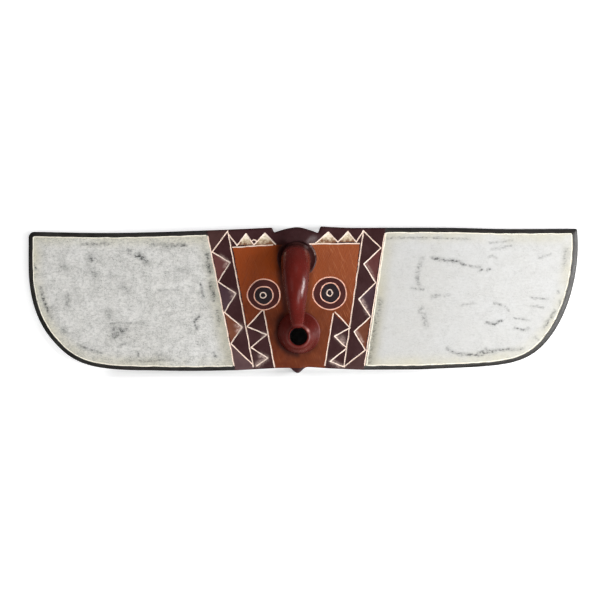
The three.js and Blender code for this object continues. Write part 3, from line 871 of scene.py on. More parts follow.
def turned_tree():
    """Turns a profile into a closed round form. Each of the profile's corners lies at its radius
    and height, and carries its ring's middle in X and Y and the ring's height over its width."""
    tree, given, result = new_tree(
        "turned_form",
        "GeometryNodeTree",
        [
            ("Profile", "Geometry", None),
            ("Rings", "Int", 80),
            ("Sides", "Int", 96),
            ("Waver", "Float", 0.0003),
            ("Waver Size", "Float", 0.012),
            ("Seed", "Float", 5.0),
            ("Paint", "Material", None),
        ],
        [("Form", "Geometry")],
    )
    columns = maths(tree, "ADD", given["Sides"], 1.0)
    size = {"Size X": 1.0, "Size Y": 1.0, "Vertices X": columns, "Vertices Y": given["Rings"]}
    grid = add(tree, "GeometryNodeMeshGrid", size).outputs["Mesh"]
    place = first_of(tree, "GeometryNodeInputPosition")
    share = parts_of(tree, vectors(tree, "ADD", place, (0.5, 0.5, 0.0)))
    turn = maths(tree, "MULTIPLY", share["X"], math.tau)
    sampled = add(
        tree,
        "GeometryNodeSampleCurve",
        {
            "Curves": first_of(tree, "GeometryNodeMeshToCurve", {"Mesh": given["Profile"]}),
            "Value": carried(tree, "ring", "FLOAT_VECTOR"),
            "Factor": share["Y"],
        },
        data_type="FLOAT_VECTOR",
        mode="FACTOR",
        use_all_curves=True,
    )
    outline = parts_of(tree, sampled.outputs["Position"])
    middle = parts_of(tree, sampled.outputs["Value"])
    cosine, sine = maths(tree, "COSINE", turn), maths(tree, "SINE", turn)
    narrowed = maths(tree, "MULTIPLY", outline["X"], middle["Z"])
    x = maths(tree, "MULTIPLY_ADD", cosine, outline["X"], middle["X"])
    y = maths(tree, "MULTIPLY_ADD", sine, narrowed, middle["Y"])
    spot = first_of(tree, "ShaderNodeCombineXYZ", {"X": x, "Y": y, "Z": outline["Z"]})
    turned = first_of(tree, "GeometryNodeSetPosition", {"Geometry": grid, "Position": spot})
    seam = {"Geometry": turned, "Distance": 0.00001}
    closed = first_of(tree, "GeometryNodeMergeByDistance", seam)
    uneven = noise(tree, place, given["Waver Size"], given["Seed"])
    centred = vectors(tree, "SUBTRACT", uneven["Color"], (0.5, 0.5, 0.5))
    wavered = moved(tree, closed, scaled(tree, centred, given["Waver"]))
    return finished(tree, wavered, given["Paint"], result["Form"])


def gouge_tree():
    """Sinks the shallow scoops of a gouge into a surface, as deep as its corners say."""
    tree, given, result = new_tree(
        "gouge_marks",
        "GeometryNodeTree",
        [
            ("Surface", "Geometry", None),
            ("Scoop Size", "Float", 0.012),
            ("Scoop Stretch", "Vector", (0.55, 1.0, 1.0)),
            ("Seed", "Float", 7.0),
            ("Paint", "Material", None),
        ],
        [("Surface", "Geometry")],
    )
    place = first_of(tree, "GeometryNodeInputPosition")
    stretched = vectors(tree, "MULTIPLY", place, given["Scoop Stretch"])
    fineness = inverse(tree, given["Scoop Size"])
    scoops = add(
        tree,
        "ShaderNodeTexVoronoi",
        {"Vector": stretched, "W": given["Seed"], "Scale": fineness},
        voronoi_dimensions="4D",
        feature="F1",
    ).outputs["Distance"]
    hollow = first_of(
        tree,
        "ShaderNodeMapRange",
        {"Value": scoops, "From Max": 0.8, "To Min": -1.0, "To Max": 0.0},
    )
    depth = maths(tree, "MULTIPLY", hollow, carried(tree, "gouge"))
    inward = scaled(tree, first_of(tree, "GeometryNodeInputNormal"), depth)
    cut = moved(tree, given["Surface"], inward)
    return finished(tree, cut, given["Paint"], result["Surface"])


# The solid parts of the carving
NICK_WIDTH = 1.4
INTO_RIM = 0.6  # how far the wing lines run into the rim


def carving_lines(outline):
    """Every incised line of the front."""
    straight_lines = [
        LEFT_WING_LINE, RIGHT_WING_LINE, LEFT_BAND_LINE, RIGHT_BAND_LINE,
        LEFT_CHEEK_LINE, RIGHT_CHEEK_LINE, LEFT_BROW_LINE, RIGHT_BROW_LINE,
    ]
    zigzags = [
        LEFT_ZIGZAG, RIGHT_ZIGZAG, LEFT_CHEEK_ZIGZAG, RIGHT_CHEEK_ZIGZAG,
        LEFT_BROW_ZIGZAG, RIGHT_BROW_ZIGZAG,
    ]
    legs = [leg for corners in zigzags for leg in zip(corners, corners[1:])]
    lines = [Line(ends, number) for number, ends in enumerate([*straight_lines, *legs])]
    lines.append(Line(spline(np.array(BROW_NICK)), NICK_SEED, width=NICK_WIDTH))
    short = np.full(len(outline), OUTLINE_GAP)
    to_rim = rim_widths(outline) - INTO_RIM
    return [
        line.kept_inside(outline, to_rim if number < 2 else short)
        for number, line in enumerate(lines)
    ]


def ellipse(middle, half_width, half_height, corners):
    """A closed ellipse of corners."""
    turn = np.linspace(0, math.tau, corners, endpoint=False)
    return np.column_stack([half_width * np.cos(turn), half_height * np.sin(turn)]) + middle


def front_sheet(outline, lines, rims, chips):
    """The front as corners with heights, triangles, and the outline's corners."""
    paths = [rail for line in [*lines, *rims] for rail in line.rails()]
    for distance, _ in WING_EDGE[1:3]:
        paths += [(run, False) for run in moved_in(outline, distance)]
    for reach, _ in COLLAR_PROFILE[1:]:
        paths.append((ellipse(COLLAR_MIDDLE, reach, reach, 90), True))
    taken = np.vstack([outline, *(path for path, _ in paths)])
    corners, triangles, border = sheet(outline, paths, front_fill(outline, taken))
    height = front_height(corners, outline, [*lines, *rims], chips)
    return np.column_stack([corners, height]), triangles, border


HOLLOW_MIDDLE = (HOLLOW["x"], HOLLOW["y"])
DRAFT_BEND = 0.45  # where the hollow's wall eases off: a share of its draft, and of its depth
DEPTH_BEND = 0.7


def hollow_depth(points):
    """How deep the hollow behind the face is at each point."""
    x, y = (points - HOLLOW_MIDDLE).T
    across, up = HOLLOW["half_width"], HOLLOW["half_height"]
    inward = (1 - np.hypot(x / across, y / up)) * (across + up) / 2
    depth, draft = HOLLOW["depth"], HOLLOW["draft"]
    return np.interp(inward, [0, draft * DRAFT_BEND, draft], [0, depth * DEPTH_BEND, depth])


def back_sheet(outline):
    """The back as corners with heights, triangles, and the corners of its border."""
    border = outline + BACK_EDGE * normals_of(outline, closed=True)
    across, up = HOLLOW["half_width"], HOLLOW["half_height"]
    shrinks = [HOLLOW["draft"] * share for share in (0, 0.2, DRAFT_BEND, 1)]
    rings = [ellipse(HOLLOW_MIDDLE, across - shrink, up - shrink, 120) for shrink in shrinks]
    points = hexagonal(border.min(axis=0), border.max(axis=0), BACK_STEP)
    points = points[inside(border, points)]
    edge, _ = distance_to(border, points, closed=True)
    clearance = BACK_STEP * CLEARANCE
    fill = clear_of(points[edge > clearance], np.vstack(rings), clearance)
    corners, triangles, border_numbers = sheet(border, [(ring, True) for ring in rings], fill)
    return np.column_stack([corners, hollow_depth(corners)]), triangles[:, ::-1], border_numbers


WALL_LEVELS = [0.14, 0.38, 0.62, 0.86]  # shares of the way down from the front's edge
WALL_UNEVENNESS = 0.35  # how deep the hollows in the walls are, and how long
WALL_WAVE_SIZE = 40
WALL_SPACING = 2.4  # about how far apart the outline's corners are
BACK_GOUGES = 0.5  # how deep the gouge went on the flat back
HOLLOW_GOUGES = 1.3
WALL_GOUGES = 0.25
GOUGE_FADE = [4, 6]  # how far down the hollow, and in from the edge, the gouge is at its deepest


def board_object(outline, front, back):
    """The closed board: front, walls and back, which carry how deep the gouge goes."""
    top_corners, top_triangles, top_border = front
    back_corners, back_triangles, back_border = back
    size = len(outline)
    inward = normals_of(outline, closed=True)
    top = top_corners[top_border]
    along = np.arange(size)[:, None] * WALL_SPACING
    rings = []
    for number, share in enumerate(WALL_LEVELS):
        height = top[:, 2] * (1 - share) + BACK_EDGE * share
        sunk = WALL_UNEVENNESS * (0.5 + 0.5 * waves(along, WALL_WAVE_SIZE, WALL_SEED + number))
        rings.append(np.column_stack([outline + inward * sunk[:, None], height]))
    rings.append(np.column_stack([outline, np.full(size, BACK_EDGE)]))
    corners = np.vstack([top_corners, *rings, back_corners])
    first = len(top_corners)
    first_back = first + size * len(rings)
    steps = [first + size * number + np.arange(size) for number in range(len(rings))]
    ladder = [np.array(top_border), *steps, first_back + np.array(back_border)]
    faces = top_triangles.tolist()
    for high, low in zip(ladder, ladder[1:]):
        walls = np.column_stack([high, low, np.roll(low, -1), np.roll(high, -1)])
        faces += walls.tolist()
    faces += (back_triangles + first_back).tolist()
    board = make_object("board", corners, [], faces)
    gouge = np.zeros(len(corners))
    gouge[first + size : first_back - size] = WALL_GOUGES
    in_hollow = ease(back_corners[:, 2] / GOUGE_FADE[0])
    edge, _ = distance_to(outline, back_corners[:, :2], closed=True)
    depth = BACK_GOUGES * (1 - in_hollow) + HOLLOW_GOUGES * in_hollow
    gouge[first_back:] = depth * ease(edge / GOUGE_FADE[1])
    store(board.data, "gouge", gouge * MM)
    return board


def polyline(name, corners):
    """An object whose mesh is one open line of corners."""
    return make_object(name, corners, [(i, i + 1) for i in range(len(corners) - 1)], [])


def beak_object(paint):
    """The curved beak, swept from the collar to the mouth."""
    path = np.array(BEAK, float)
    host = polyline("beak_path", path[:, :3] + (0, 0, BOARD))
    store(host.data, "half_width", path[:, 3] * MM)
    values = {"Steps": 110, "Sides": 72, "Cut Depth": 0.0005, "Cut Size": 0.014, "Paint": paint}
    return replaced(host, "beak", grown(host, beak_tree(), values))


def turned_object(name, rings, tree, values):
    """A turned form through rings of [x, y, height, half width, half height]."""
    x, y, height, half_width, half_height = np.array(rings, float).T
    ratio = np.divide(half_height, half_width, out=np.ones(len(rings)), where=half_width > 0)
    host = polyline(name + "_profile", np.column_stack([half_width, np.zeros(len(rings)), height]))
    middles = np.column_stack([x * MM, y * MM, ratio])
    store(host.data, "ring", middles, "FLOAT_VECTOR", "vector")
    return replaced(host, name, grown(host, tree, values))


def replaced(host, name, mesh):
    """A new object with the mesh, in place of the host that it was grown from."""
    made = placed(name, mesh)
    bpy.data.objects.remove(host)
    return made


def closed_profile(rings):
    """Rings with a middle point added at each end, so that the turned form is closed."""
    first, last = rings[0], rings[-1]
    return [[*first[:3], 0, 0], *rings, [*last[:3], 0, 0]]


def mouth_objects(paint, inside_paint):
    """The round mouth and the tool that cuts its hole."""
    tree = turned_tree()
    rings = np.array(MOUTH, float) + (0, 0, BOARD, 0, 0)
    foot = [rings[0], rings[1], (rings[1] + rings[2]) / 2]
    smooth = spline(rings[2:])[:: CURVE_STEPS // 6]
    values = {"Rings": 90, "Sides": 110, "Waver": 0.0009, "Paint": paint}
    mouth = turned_object("mouth", closed_profile([*foot, *smooth]), tree, values)
    x, y, radius, lip = BORE.values()
    rim = BOARD + MOUTH[-1][2]
    opening = [[rim - down * lip, radius + out * lip] for down, out in BORE_OPENING]
    start = [HOLLOW["depth"] - BORE_ENDS[0], radius]
    levels = [start, *opening, [rim + BORE_ENDS[1], radius + lip * 2.5]]
    rings = closed_profile([[x, y, z, r, r] for z, r in levels])
    values = {"Rings": 60, "Sides": 90, "Waver": 0.0006, "Seed": 9.0, "Paint": inside_paint}
    return mouth, turned_object("bore", rings, tree, values)


def combined(board, joined, cut):
    """The board with the other forms joined to it and the last one cut away."""
    for other in (*joined, cut):
        step = board.modifiers.new(other.name, "BOOLEAN")
        step.operation = "DIFFERENCE" if other is cut else "UNION"
        step.object = other
        step.solver = "MANIFOLD"
        step.material_mode = "TRANSFER"
    mesh = applied(board)
    for spent in (board, cut, *joined):
        bpy.data.objects.remove(spent)
    return placed("butterfly_mask", mesh)


# Paints, by region of the front
LEFT_TRIANGLES = ["worn_brown", "red_brown", "plum", "rust", "mauve"]  # from the top down
RIGHT_TRIANGLES = ["aubergine", "red_brown", "plum", "rust", "worn_brown"]
CLAY_FIELD = [
    LEFT_BROW_LINE[0], LEFT_CHEEK_ZIGZAG[1], LEFT_CHEEK_LINE[0], LEFT_CHEEK_LINE[1], [-36, -100],
    [27, -100], RIGHT_CHEEK_LINE[1], RIGHT_CHEEK_LINE[0], RIGHT_CHEEK_ZIGZAG[1], RIGHT_BROW_LINE[1],
    RIGHT_BROW_LINE[0], LEFT_BROW_LINE[1],
]
CHIN = [[-17.4, -87.5], [-7.7, -86.3], [3.2, -86.9], [3.2, -100], [-17.4, -100]]
CHIN_TOP = -87.6
COLLAR_REACH = 25.4
CROWN_REACH = 21  # the crown's paint begins this far from the collar's middle
BEYOND = 110  # a height past the mask's edge


def band_triangles():
    """The tinted triangles along the wing lines, as corners and paint."""
    found = []
    for corners, wing_line, paints in (
        (LEFT_ZIGZAG, LEFT_WING_LINE, LEFT_TRIANGLES),
        (RIGHT_ZIGZAG, RIGHT_WING_LINE, RIGHT_TRIANGLES),
    ):
        top, foot = wing_line
        above, below = [corners[0][0], BEYOND], [corners[-1][0], -BEYOND]
        found.append(([corners[1], corners[0], above, [top[0], BEYOND], top], paints[0]))
        for tooth in range(1, len(paints) - 1):
            found.append((corners[2 * tooth - 1 : 2 * tooth + 2], paints[tooth]))
        found.append(([corners[-2], corners[-1], below, [foot[0], -BEYOND], foot], paints[-1]))
    return found


def deepest_cut(lines, points):
    """How deep the deepest of some lines is cut at each point."""
    return np.max([line.cut(points) for line in lines], axis=0)


def front_paints(middles, outline, lines, rims, eyes, brow_chips):
    """The name of the paint at each point of the front."""
    past = past_wing_lines(middles)
    edge, place = distance_to(outline, middles, closed=True)
    rim = along_loop(rim_widths(outline), place)
    reach, turn = round_collar(middles)
    paints = np.full(len(middles), "aubergine", dtype=object)
    for corners, paint in [(CLAY_FIELD, "clay"), *band_triangles()]:
        paints[inside(np.array(corners, float), middles)] = paint
    for chip in brow_chips:
        paints[inside(chip.corners, middles)] = "brow_chalk"
    paints[reach < COLLAR_REACH] = "collar_brown"
    paints[(reach >= CROWN_REACH) & (turn < sum(CROWN_SHOULDERS) / 2)] = "aubergine"
    paints[inside(np.array(CHIN, float), middles) & (middles[:, 1] < CHIN_TOP)] = "chin_maroon"
    for outer, inner, _ in eyes:
        paints[inside(outer.middle, middles)] = "eye_maroon"
        paints[inside(inner.middle, middles)] = "eye_black"
    paints[past > 0] = "white_field"
    paints[(past > 0) & (edge < rim)] = "charcoal_rim"
    paints[deepest_cut(lines, middles) > 0] = "cream_line"
    outer_rings = [ring for rings in eyes for ring in rings[:2]]
    paints[deepest_cut(outer_rings, middles) > 0] = "peach_line"
    paints[(deepest_cut(rims, middles) > 0) & (past > 0)] = "chalk_line"
    return paints


BORDER_REACH = 60  # nearness to a border is measured up to here
FRONT_DROP = 5  # how far below the thickness of a wing's tip the front may lie
# The beak's root, painted browner and, as painted shade, darker: where it begins and is full, above the
# collar's middle and above the board
ROOT_UP = (-14, 10)
ROOT_RISE = (34, 4)
# Painted highlights on the mouth's lip as [degrees round from the right, how far they reach, strength]
LIP_HIGHLIGHTS = [[45, 28, 0.18], [31, 8, 0.8], [-140, 30, 0.08]]
LIP_SHEEN = 0.05  # how strong a painted highlight the lip has all round


def measure_wear_and_painted_light(mesh, outline, brow_chips):
    """Stores what the paints read: smears, rubbed points, painted shadow, nearness to borders, the beak's
    root with its painted shade, and the mouth's painted highlights.
    """
    corners = np.zeros(len(mesh.vertices) * 3, np.float32)
    mesh.vertices.foreach_get("co", corners)
    corners = corners.reshape(-1, 3).astype(float) / MM
    points, height = corners[:, :2], corners[:, 2]
    rise = height - BOARD
    on_front = height > WING_TIP - FRONT_DROP
    past = past_wing_lines(points)
    edge, place = distance_to(outline, points, closed=True)
    store(mesh, "smear", smeared(points, SMEARS) * (past > 0) * on_front)
    store(mesh, "rub_and_highlight", smeared(points, RUBS_AND_EDGE_HIGHLIGHT) * on_front)
    store(mesh, "painted_shadow", smeared(points, PAINTED_SHADOWS) * on_front)
    border = np.minimum(edge - along_loop(rim_widths(outline), place), past)
    store(mesh, "border", np.where(past > 0, np.clip(border, 0, BORDER_REACH), 0) * MM)
    store(mesh, "inner", np.clip(past, 0, BORDER_REACH) * MM)
    apex = np.zeros(len(points))
    for chip in brow_chips:
        apex = np.where(inside(chip.corners, points), chip.share(points), apex)
    store(mesh, "apex", apex)
    up = points[:, 1] - COLLAR_MIDDLE[1]
    # The beak's root, browner, and darker as painted shade
    store(mesh, "root", between(up, *ROOT_UP) * between(rise, *ROOT_RISE))
    # Painted highlights on the mouth's lip, flank and foot
    store(mesh, "lip", mouth_highlights(points, rise))


def bell(value, middle, width):
    """One at the middle, falling off smoothly over a width to either side."""
    return np.exp(-(((value - middle) / width) ** 2))


def mouth_highlights(points, rise):
    """Where the mouth's red is painted pale as highlights: on its lip, as a painted reflection low on its
    flank, and right of its foot.
    """
    across, up = (points - MOUTH[0][:2]).T
    foot = np.hypot(across / MOUTH[0][3], up / MOUTH[0][4])
    turn = np.degrees(np.arctan2(up, across))
    foot_highlight = 0.2 * bell(foot, 0.965, 0.025) * (rise > 0.3) * (rise < 5) * bell(turn, 25, 45)
    across, up = (points - (BORE["x"], BORE["y"])).T
    reach, turn = np.hypot(across, up), np.degrees(np.arctan2(up, across))
    flank_reflection = 0.1 * bell(reach, 19.5, 2.2) * (rise > 2) * bell(turn, -80, 50)
    highlights = [strength * bell(turn, middle, width) for middle, width, strength in LIP_HIGHLIGHTS]
    lip_highlight = bell(reach, 14.6, 1.3) * (rise > 15) * sum(highlights, LIP_SHEEN)
    return np.max([foot_highlight, flank_reflection, lip_highlight], axis=0)


# Shader parts
def screen(red, green, blue):
    """A colour as it is seen on a screen, from 0 to 255, in the shader's own numbers."""
    shares = [value / 255 for value in (red, green, blue)]
    return (*(s / 12.92 if s <= 0.04045 else ((s + 0.055) / 1.055) ** 2.4 for s in shares), 1.0)


def mixed(tree, share, first, second):
    """Two colours mixed by a share."""
    made = add(tree, "ShaderNodeMix", {0: share, 6: first, 7: second}, data_type="RGBA")
    return made.outputs[2]


def ranged(tree, value, low, high, to_low=0.0, to_high=1.0):
    """A value moved smoothly from one range to another."""
    inputs = {
        "Value": value, "From Min": low, "From Max": high, "To Min": to_low, "To Max": to_high,
    }
    return first_of(tree, "ShaderNodeMapRange", inputs, interpolation_type="SMOOTHSTEP")


def texture_group(name, sizes, outputs):
    """A shader group that reads a place and some sizes: its tree, its inputs and its outputs."""
    inputs = [("Vector", "Vector", None), *((label, "Float", size) for label, size in sizes.items())]
    return new_tree(name, "ShaderNodeTree", inputs, [(label, "Float") for label in outputs])


def texture(tree, place, scale, **values):
    """The number that smooth noise gives at a place."""
    return first_of(tree, "ShaderNodeTexNoise", {"Vector": place, "Scale": scale, **values})


def cloud_group():
    """Soft uneven patches, as in paint laid on thinner and thicker."""
    tree, given, result = texture_group("paint_clouds", {"Size": 0.02, "Contrast": 2.0}, ["Share"])
    patches = texture(tree, given["Vector"], inverse(tree, given["Size"]), Detail=5.0, Roughness=0.6)
    centred = maths(tree, "SUBTRACT", patches, 0.5)
    share = maths(tree, "MULTIPLY_ADD", centred, given["Contrast"], 0.5, clamp=True)
    tree.links.new(share, result["Share"])
    return tree


def drawn_out(tree, place, length, width, gain, offset, result, **values):
    """Ends a group with noise drawn out along X: its height, and its share made stronger."""
    aside = inverse(tree, width)
    scale = {"X": inverse(tree, length), "Y": aside, "Z": aside}
    drawn = vectors(tree, "MULTIPLY", place, first_of(tree, "ShaderNodeCombineXYZ", scale))
    height = texture(tree, drawn, 1.0, **values)
    share = maths(tree, "MULTIPLY_ADD", height, gain, offset, clamp=True)
    tree.links.new(share, result["Share"])
    tree.links.new(height, result["Height"])
    return tree


def brush_group():
    """The fine parallel marks of a brush or rag, drawn out in one direction."""
    sizes = {"Turn": 0.0, "Width": 0.0012, "Length": 0.03}
    tree, given, result = texture_group("brush_marks", sizes, ["Share", "Height"])
    turn = {"Vector": given["Vector"], "Angle": given["Turn"]}
    turned = first_of(tree, "ShaderNodeVectorRotate", turn, rotation_type="Z_AXIS")
    length, width = given["Length"], given["Width"]
    return drawn_out(tree, turned, length, width, 2.4, -0.7, result, Detail=3.0, Distortion=0.6)


def speck_group():
    """Broken specks that cover a share of a surface, as where paint has rubbed off."""
    sizes = {"Size": 0.002, "Cover": 0.3, "Softness": 0.08}
    tree, given, result = texture_group("worn_specks", sizes, ["Mask"])
    fine = texture(tree, given["Vector"], inverse(tree, given["Size"]), Detail=4.0, Roughness=0.65)
    spread = maths(tree, "MULTIPLY_ADD", fine, 2.2, -0.6, clamp=True)
    line = maths(tree, "SUBTRACT", 1.0, given["Cover"])
    low = maths(tree, "SUBTRACT", line, given["Softness"])
    high = maths(tree, "ADD", line, given["Softness"])
    tree.links.new(ranged(tree, spread, low, high), result["Mask"])
    return tree


def grain_group():
    """Wood grain that runs along the board."""
    sizes = {"Spacing": 0.003, "Length": 0.09}
    tree, given, result = texture_group("wood_grain", sizes, ["Share", "Height"])
    place, length, width = given["Vector"], given["Length"], given["Spacing"]
    return drawn_out(tree, place, length, width, 2.6, -0.8, result, Detail=5.0, Distortion=1.2)


CLOUDS = cloud_group()
BRUSH = brush_group()
SPECKS = speck_group()
GRAIN = grain_group()


class Paint:
    """A material in the making: its tree, its shader and the colour laid down so far."""

    def __init__(self, name, **values):
        self.material = bpy.data.materials.new(name)
        self.material.use_nodes = True
        self.tree = self.material.node_tree
        self.shader = self.tree.nodes["Principled BSDF"]
        for label, value in values.items():
            self.shader.inputs[label.replace("_", " ")].default_value = value
        self.place = add(self.tree, "ShaderNodeTexCoord").outputs["Object"]
        self.colour = None

    def group(self, group, **values):
        """A node group over the surface, with its own values."""
        inputs = {"Vector": self.place, **values}
        return add(self.tree, "ShaderNodeGroup", inputs, node_tree=group).outputs

    def clouds(self, size, contrast):
        """Soft patches."""
        return self.group(CLOUDS, Size=size, Contrast=contrast)["Share"]

    def specks(self, size, cover, softness):
        """Broken specks."""
        return self.group(SPECKS, Size=size, Cover=cover, Softness=softness)["Mask"]

    def brushed(self, turn, width, length):
        """The marks of a brush: their share and their height."""
        return self.group(BRUSH, Turn=turn, Width=width, Length=length)

    def grain(self, spacing, length):
        """Wood grain: its share and its height."""
        return self.group(GRAIN, Spacing=spacing, Length=length)

    def blend(self, share, first, second):
        """Begins with two colours mixed by a share."""
        self.colour = mixed(self.tree, share, screen(*first), screen(*second))

    def lay(self, colour, *shares):
        """Lays a colour over the one so far, as strong as its shares multiplied."""
        share = shares[0]
        for other in shares[1:]:
            share = maths(self.tree, "MULTIPLY", share, other)
        self.colour = mixed(self.tree, share, self.colour, screen(*colour))

    def link(self, **values):
        """Links values to the shader's inputs."""
        for label, value in values.items():
            self.tree.links.new(value, self.shader.inputs[label.replace("_", " ")])

    def finish(self, rough, height, distance):
        """The material, with its colour, its roughness and a relief that high."""
        relief = {"Height": height, "Distance": distance, "Strength": 1.0}
        normal = first_of(self.tree, "ShaderNodeBump", relief)
        self.link(Base_Color=self.colour, Roughness=rough, Normal=normal)
        return self.material


def wear_and_painted_light(tree, name):
    """What a named measure says over the surface, of wear and of painted light and shade."""
    return add(tree, "ShaderNodeAttribute", attribute_name=name).outputs["Fac"]


def dark_paint(name, colour, lighter, gloss=0.42):
    """A thin dark paint, a little cloudy, with the wood and a pale dust showing through, a painted
    highlight on the collar's edge, and painted shadow beside the beak.
    """
    paint = Paint(name, Specular_IOR_Level=0.22)
    tree = paint.tree
    clouds = paint.clouds(size=0.016, contrast=2.6)
    paint.blend(clouds, colour, lighter)
    paint.lay((118, 78, 72), paint.specks(size=0.0016, cover=0.12, softness=0.1), 0.3)
    chalk = paint.specks(size=0.0024, cover=0.5, softness=0.3)
    broken = maths(tree, "MULTIPLY_ADD", chalk, 0.75, 0.2)
    # Rubbed white in the chips' points, and the painted highlight on the collar's edge
    paint.lay((206, 180, 170), wear_and_painted_light(tree, "rub_and_highlight"), broken, 0.85)
    # Painted shadow beside the beak and round the mouth
    paint.lay((32, 11, 9), wear_and_painted_light(tree, "painted_shadow"), 0.8)
    marks = paint.brushed(turn=1.2, width=0.0011, length=0.012)
    return paint.finish(ranged(tree, clouds, 0.0, 1.0, gloss, gloss + 0.1), marks["Height"], 0.0003)


def line_paint(name, colour, shade, cover):
    """The chalky colour rubbed into the incised lines."""
    paint = Paint(name, Specular_IOR_Level=0.15)
    clouds = paint.clouds(size=0.006, contrast=1.8)
    paint.blend(clouds, colour, [part * 0.93 for part in colour])
    paint.lay(shade, paint.specks(size=0.003, cover=cover, softness=0.2), 0.7)
    return paint.finish(ranged(paint.tree, clouds, 0.0, 1.0, 0.75, 0.9), clouds, 0.0003)


def clay_paint():
    """The face's orange-brown, brushed thin, with painted shade: darker to the lower left, away from the
    light, and painted shadow round the mouth.
    """
    paint = Paint("clay", Specular_IOR_Level=0.2)
    tree = paint.tree
    place = parts_of(tree, paint.place)
    broad = paint.clouds(size=0.045, contrast=2.6)
    small = paint.clouds(size=0.009, contrast=2.4)
    marks = paint.brushed(turn=-1.15, width=0.001, length=0.02)
    cross = paint.brushed(turn=-1.95, width=0.0011, length=0.016)
    # Painted light and shade: the clay is laid darker low down and to the left, and lighter to the upper
    # right, where the light falls
    aside = ranged(tree, place["X"], -0.04, 0.045)
    low = mixed(tree, aside, screen(88, 32, 9), screen(104, 47, 21))
    high = mixed(tree, aside, screen(150, 66, 23), screen(148, 76, 42))
    toward_light = maths(tree, "MULTIPLY_ADD", broad, 0.03, place["Y"])
    paint.colour = mixed(tree, ranged(tree, toward_light, -0.02, 0.055), low, high)
    paint.lay((138, 66, 28), small, 0.35)
    lean = maths(tree, "MULTIPLY_ADD", place["Y"], 0.57, place["X"])
    scratched = ranged(tree, lean, 0.0, 0.07, 0.12, 0.5)
    paint.lay((186, 116, 78), ranged(tree, cross["Share"], 0.66, 0.95), scratched)
    paint.lay((86, 32, 16), ranged(tree, marks["Share"], 0.62, 0.98), 0.3)
    # Painted shadow left of the beak and round the mouth's foot
    paint.lay((44, 12, 8), wear_and_painted_light(tree, "painted_shadow"))
    return paint.finish(ranged(tree, small, 0.0, 1.0, 0.4, 0.52), marks["Height"], 0.0004)


def white_paint():
    """The wings' chalky white: more mottled on the left wing, tinted at its borders, smeared."""
    paint = Paint("white_field", Specular_IOR_Level=0.15)
    tree = paint.tree
    place = parts_of(tree, paint.place)
    right = ranged(tree, place["X"], -0.02, 0.02)
    weight = ranged(tree, right, 0.0, 1.0, 1.0, 0.3)  # the right wing shows less of what follows
    broad = paint.clouds(size=0.05, contrast=2.4)
    small = paint.clouds(size=0.012, contrast=3.0)
    marks = paint.brushed(turn=0.1, width=0.0018, length=0.008)
    outer = ranged(tree, place["X"], 0.1, 0.3)
    right_white = mixed(tree, outer, screen(204, 204, 203), screen(216, 216, 215))
    paint.colour = mixed(tree, right, screen(230, 229, 226), right_white)
    paint.lay((202, 199, 190), broad, 0.3)
    paint.lay((180, 180, 176), small, weight, 0.48)
    # A warm tint along the rims, and a greyer one along the face, stronger towards the bottom
    warm = ranged(tree, wear_and_painted_light(tree, "border"), 0.0, 0.018, 1.0, 0.0)
    paint.lay((208, 203, 180), warm, maths(tree, "MULTIPLY_ADD", broad, 0.7, 0.15))
    inner = ranged(tree, wear_and_painted_light(tree, "inner"), 0.004, 0.024, 1.0, 0.0)
    low = ranged(tree, place["Y"], 0.05, -0.08, 0.3, 1.0)
    paint.lay((172, 167, 148), inner, low, maths(tree, "MULTIPLY_ADD", broad, 0.5, 0.45))
    # Dirt, grit and fine specks
    paint.lay((138, 137, 130), ranged(tree, marks["Share"], 0.55, 0.98), weight, 0.3)
    grit = paint.specks(size=0.0034, cover=0.38, softness=0.24)
    paint.lay((146, 146, 142), grit, weight, 0.34)
    fine = paint.specks(size=0.0013, cover=0.3, softness=0.12)
    paint.lay((132, 131, 127), fine, ranged(tree, small, 0.2, 0.8, 0.25, 0.85), weight)
    # Smears, dark where they are torn
    dashes = paint.brushed(turn=-0.12, width=0.0017, length=0.0065)["Share"]
    torn = paint.specks(size=0.0036, cover=0.5, softness=0.3)
    torn = maths(tree, "MULTIPLY", torn, ranged(tree, dashes, 0.15, 0.75, 0.25, 1.4))
    smear = wear_and_painted_light(tree, "smear")
    paint.lay((128, 128, 126), smear, 0.4)
    paint.lay((72, 74, 73), smear, torn)
    relief = maths(tree, "MULTIPLY_ADD", small, 0.5, marks["Height"])
    return paint.finish(ranged(tree, small, 0.0, 1.0, 0.62, 0.8), relief, 0.0005)


def brow_paint():
    """The brow's chalky triangles, brown at their base and pale at their tip."""
    paint = Paint("brow_chalk", Specular_IOR_Level=0.15)
    tree = paint.tree
    small = paint.clouds(size=0.005, contrast=3.0)
    share = maths(tree, "ADD", wear_and_painted_light(tree, "apex"), maths(tree, "MULTIPLY_ADD", small, 0.5, -0.3))
    paint.blend(ranged(tree, share, 0.0, 0.42), (128, 88, 64), (212, 193, 164))
    paint.lay((255, 245, 226), ranged(tree, share, 0.3, 0.85))
    paint.lay((118, 94, 56), paint.specks(size=0.0026, cover=0.22, softness=0.15), 0.5)
    return paint.finish(ranged(tree, small, 0.0, 1.0, 0.7, 0.85), small, 0.0004)


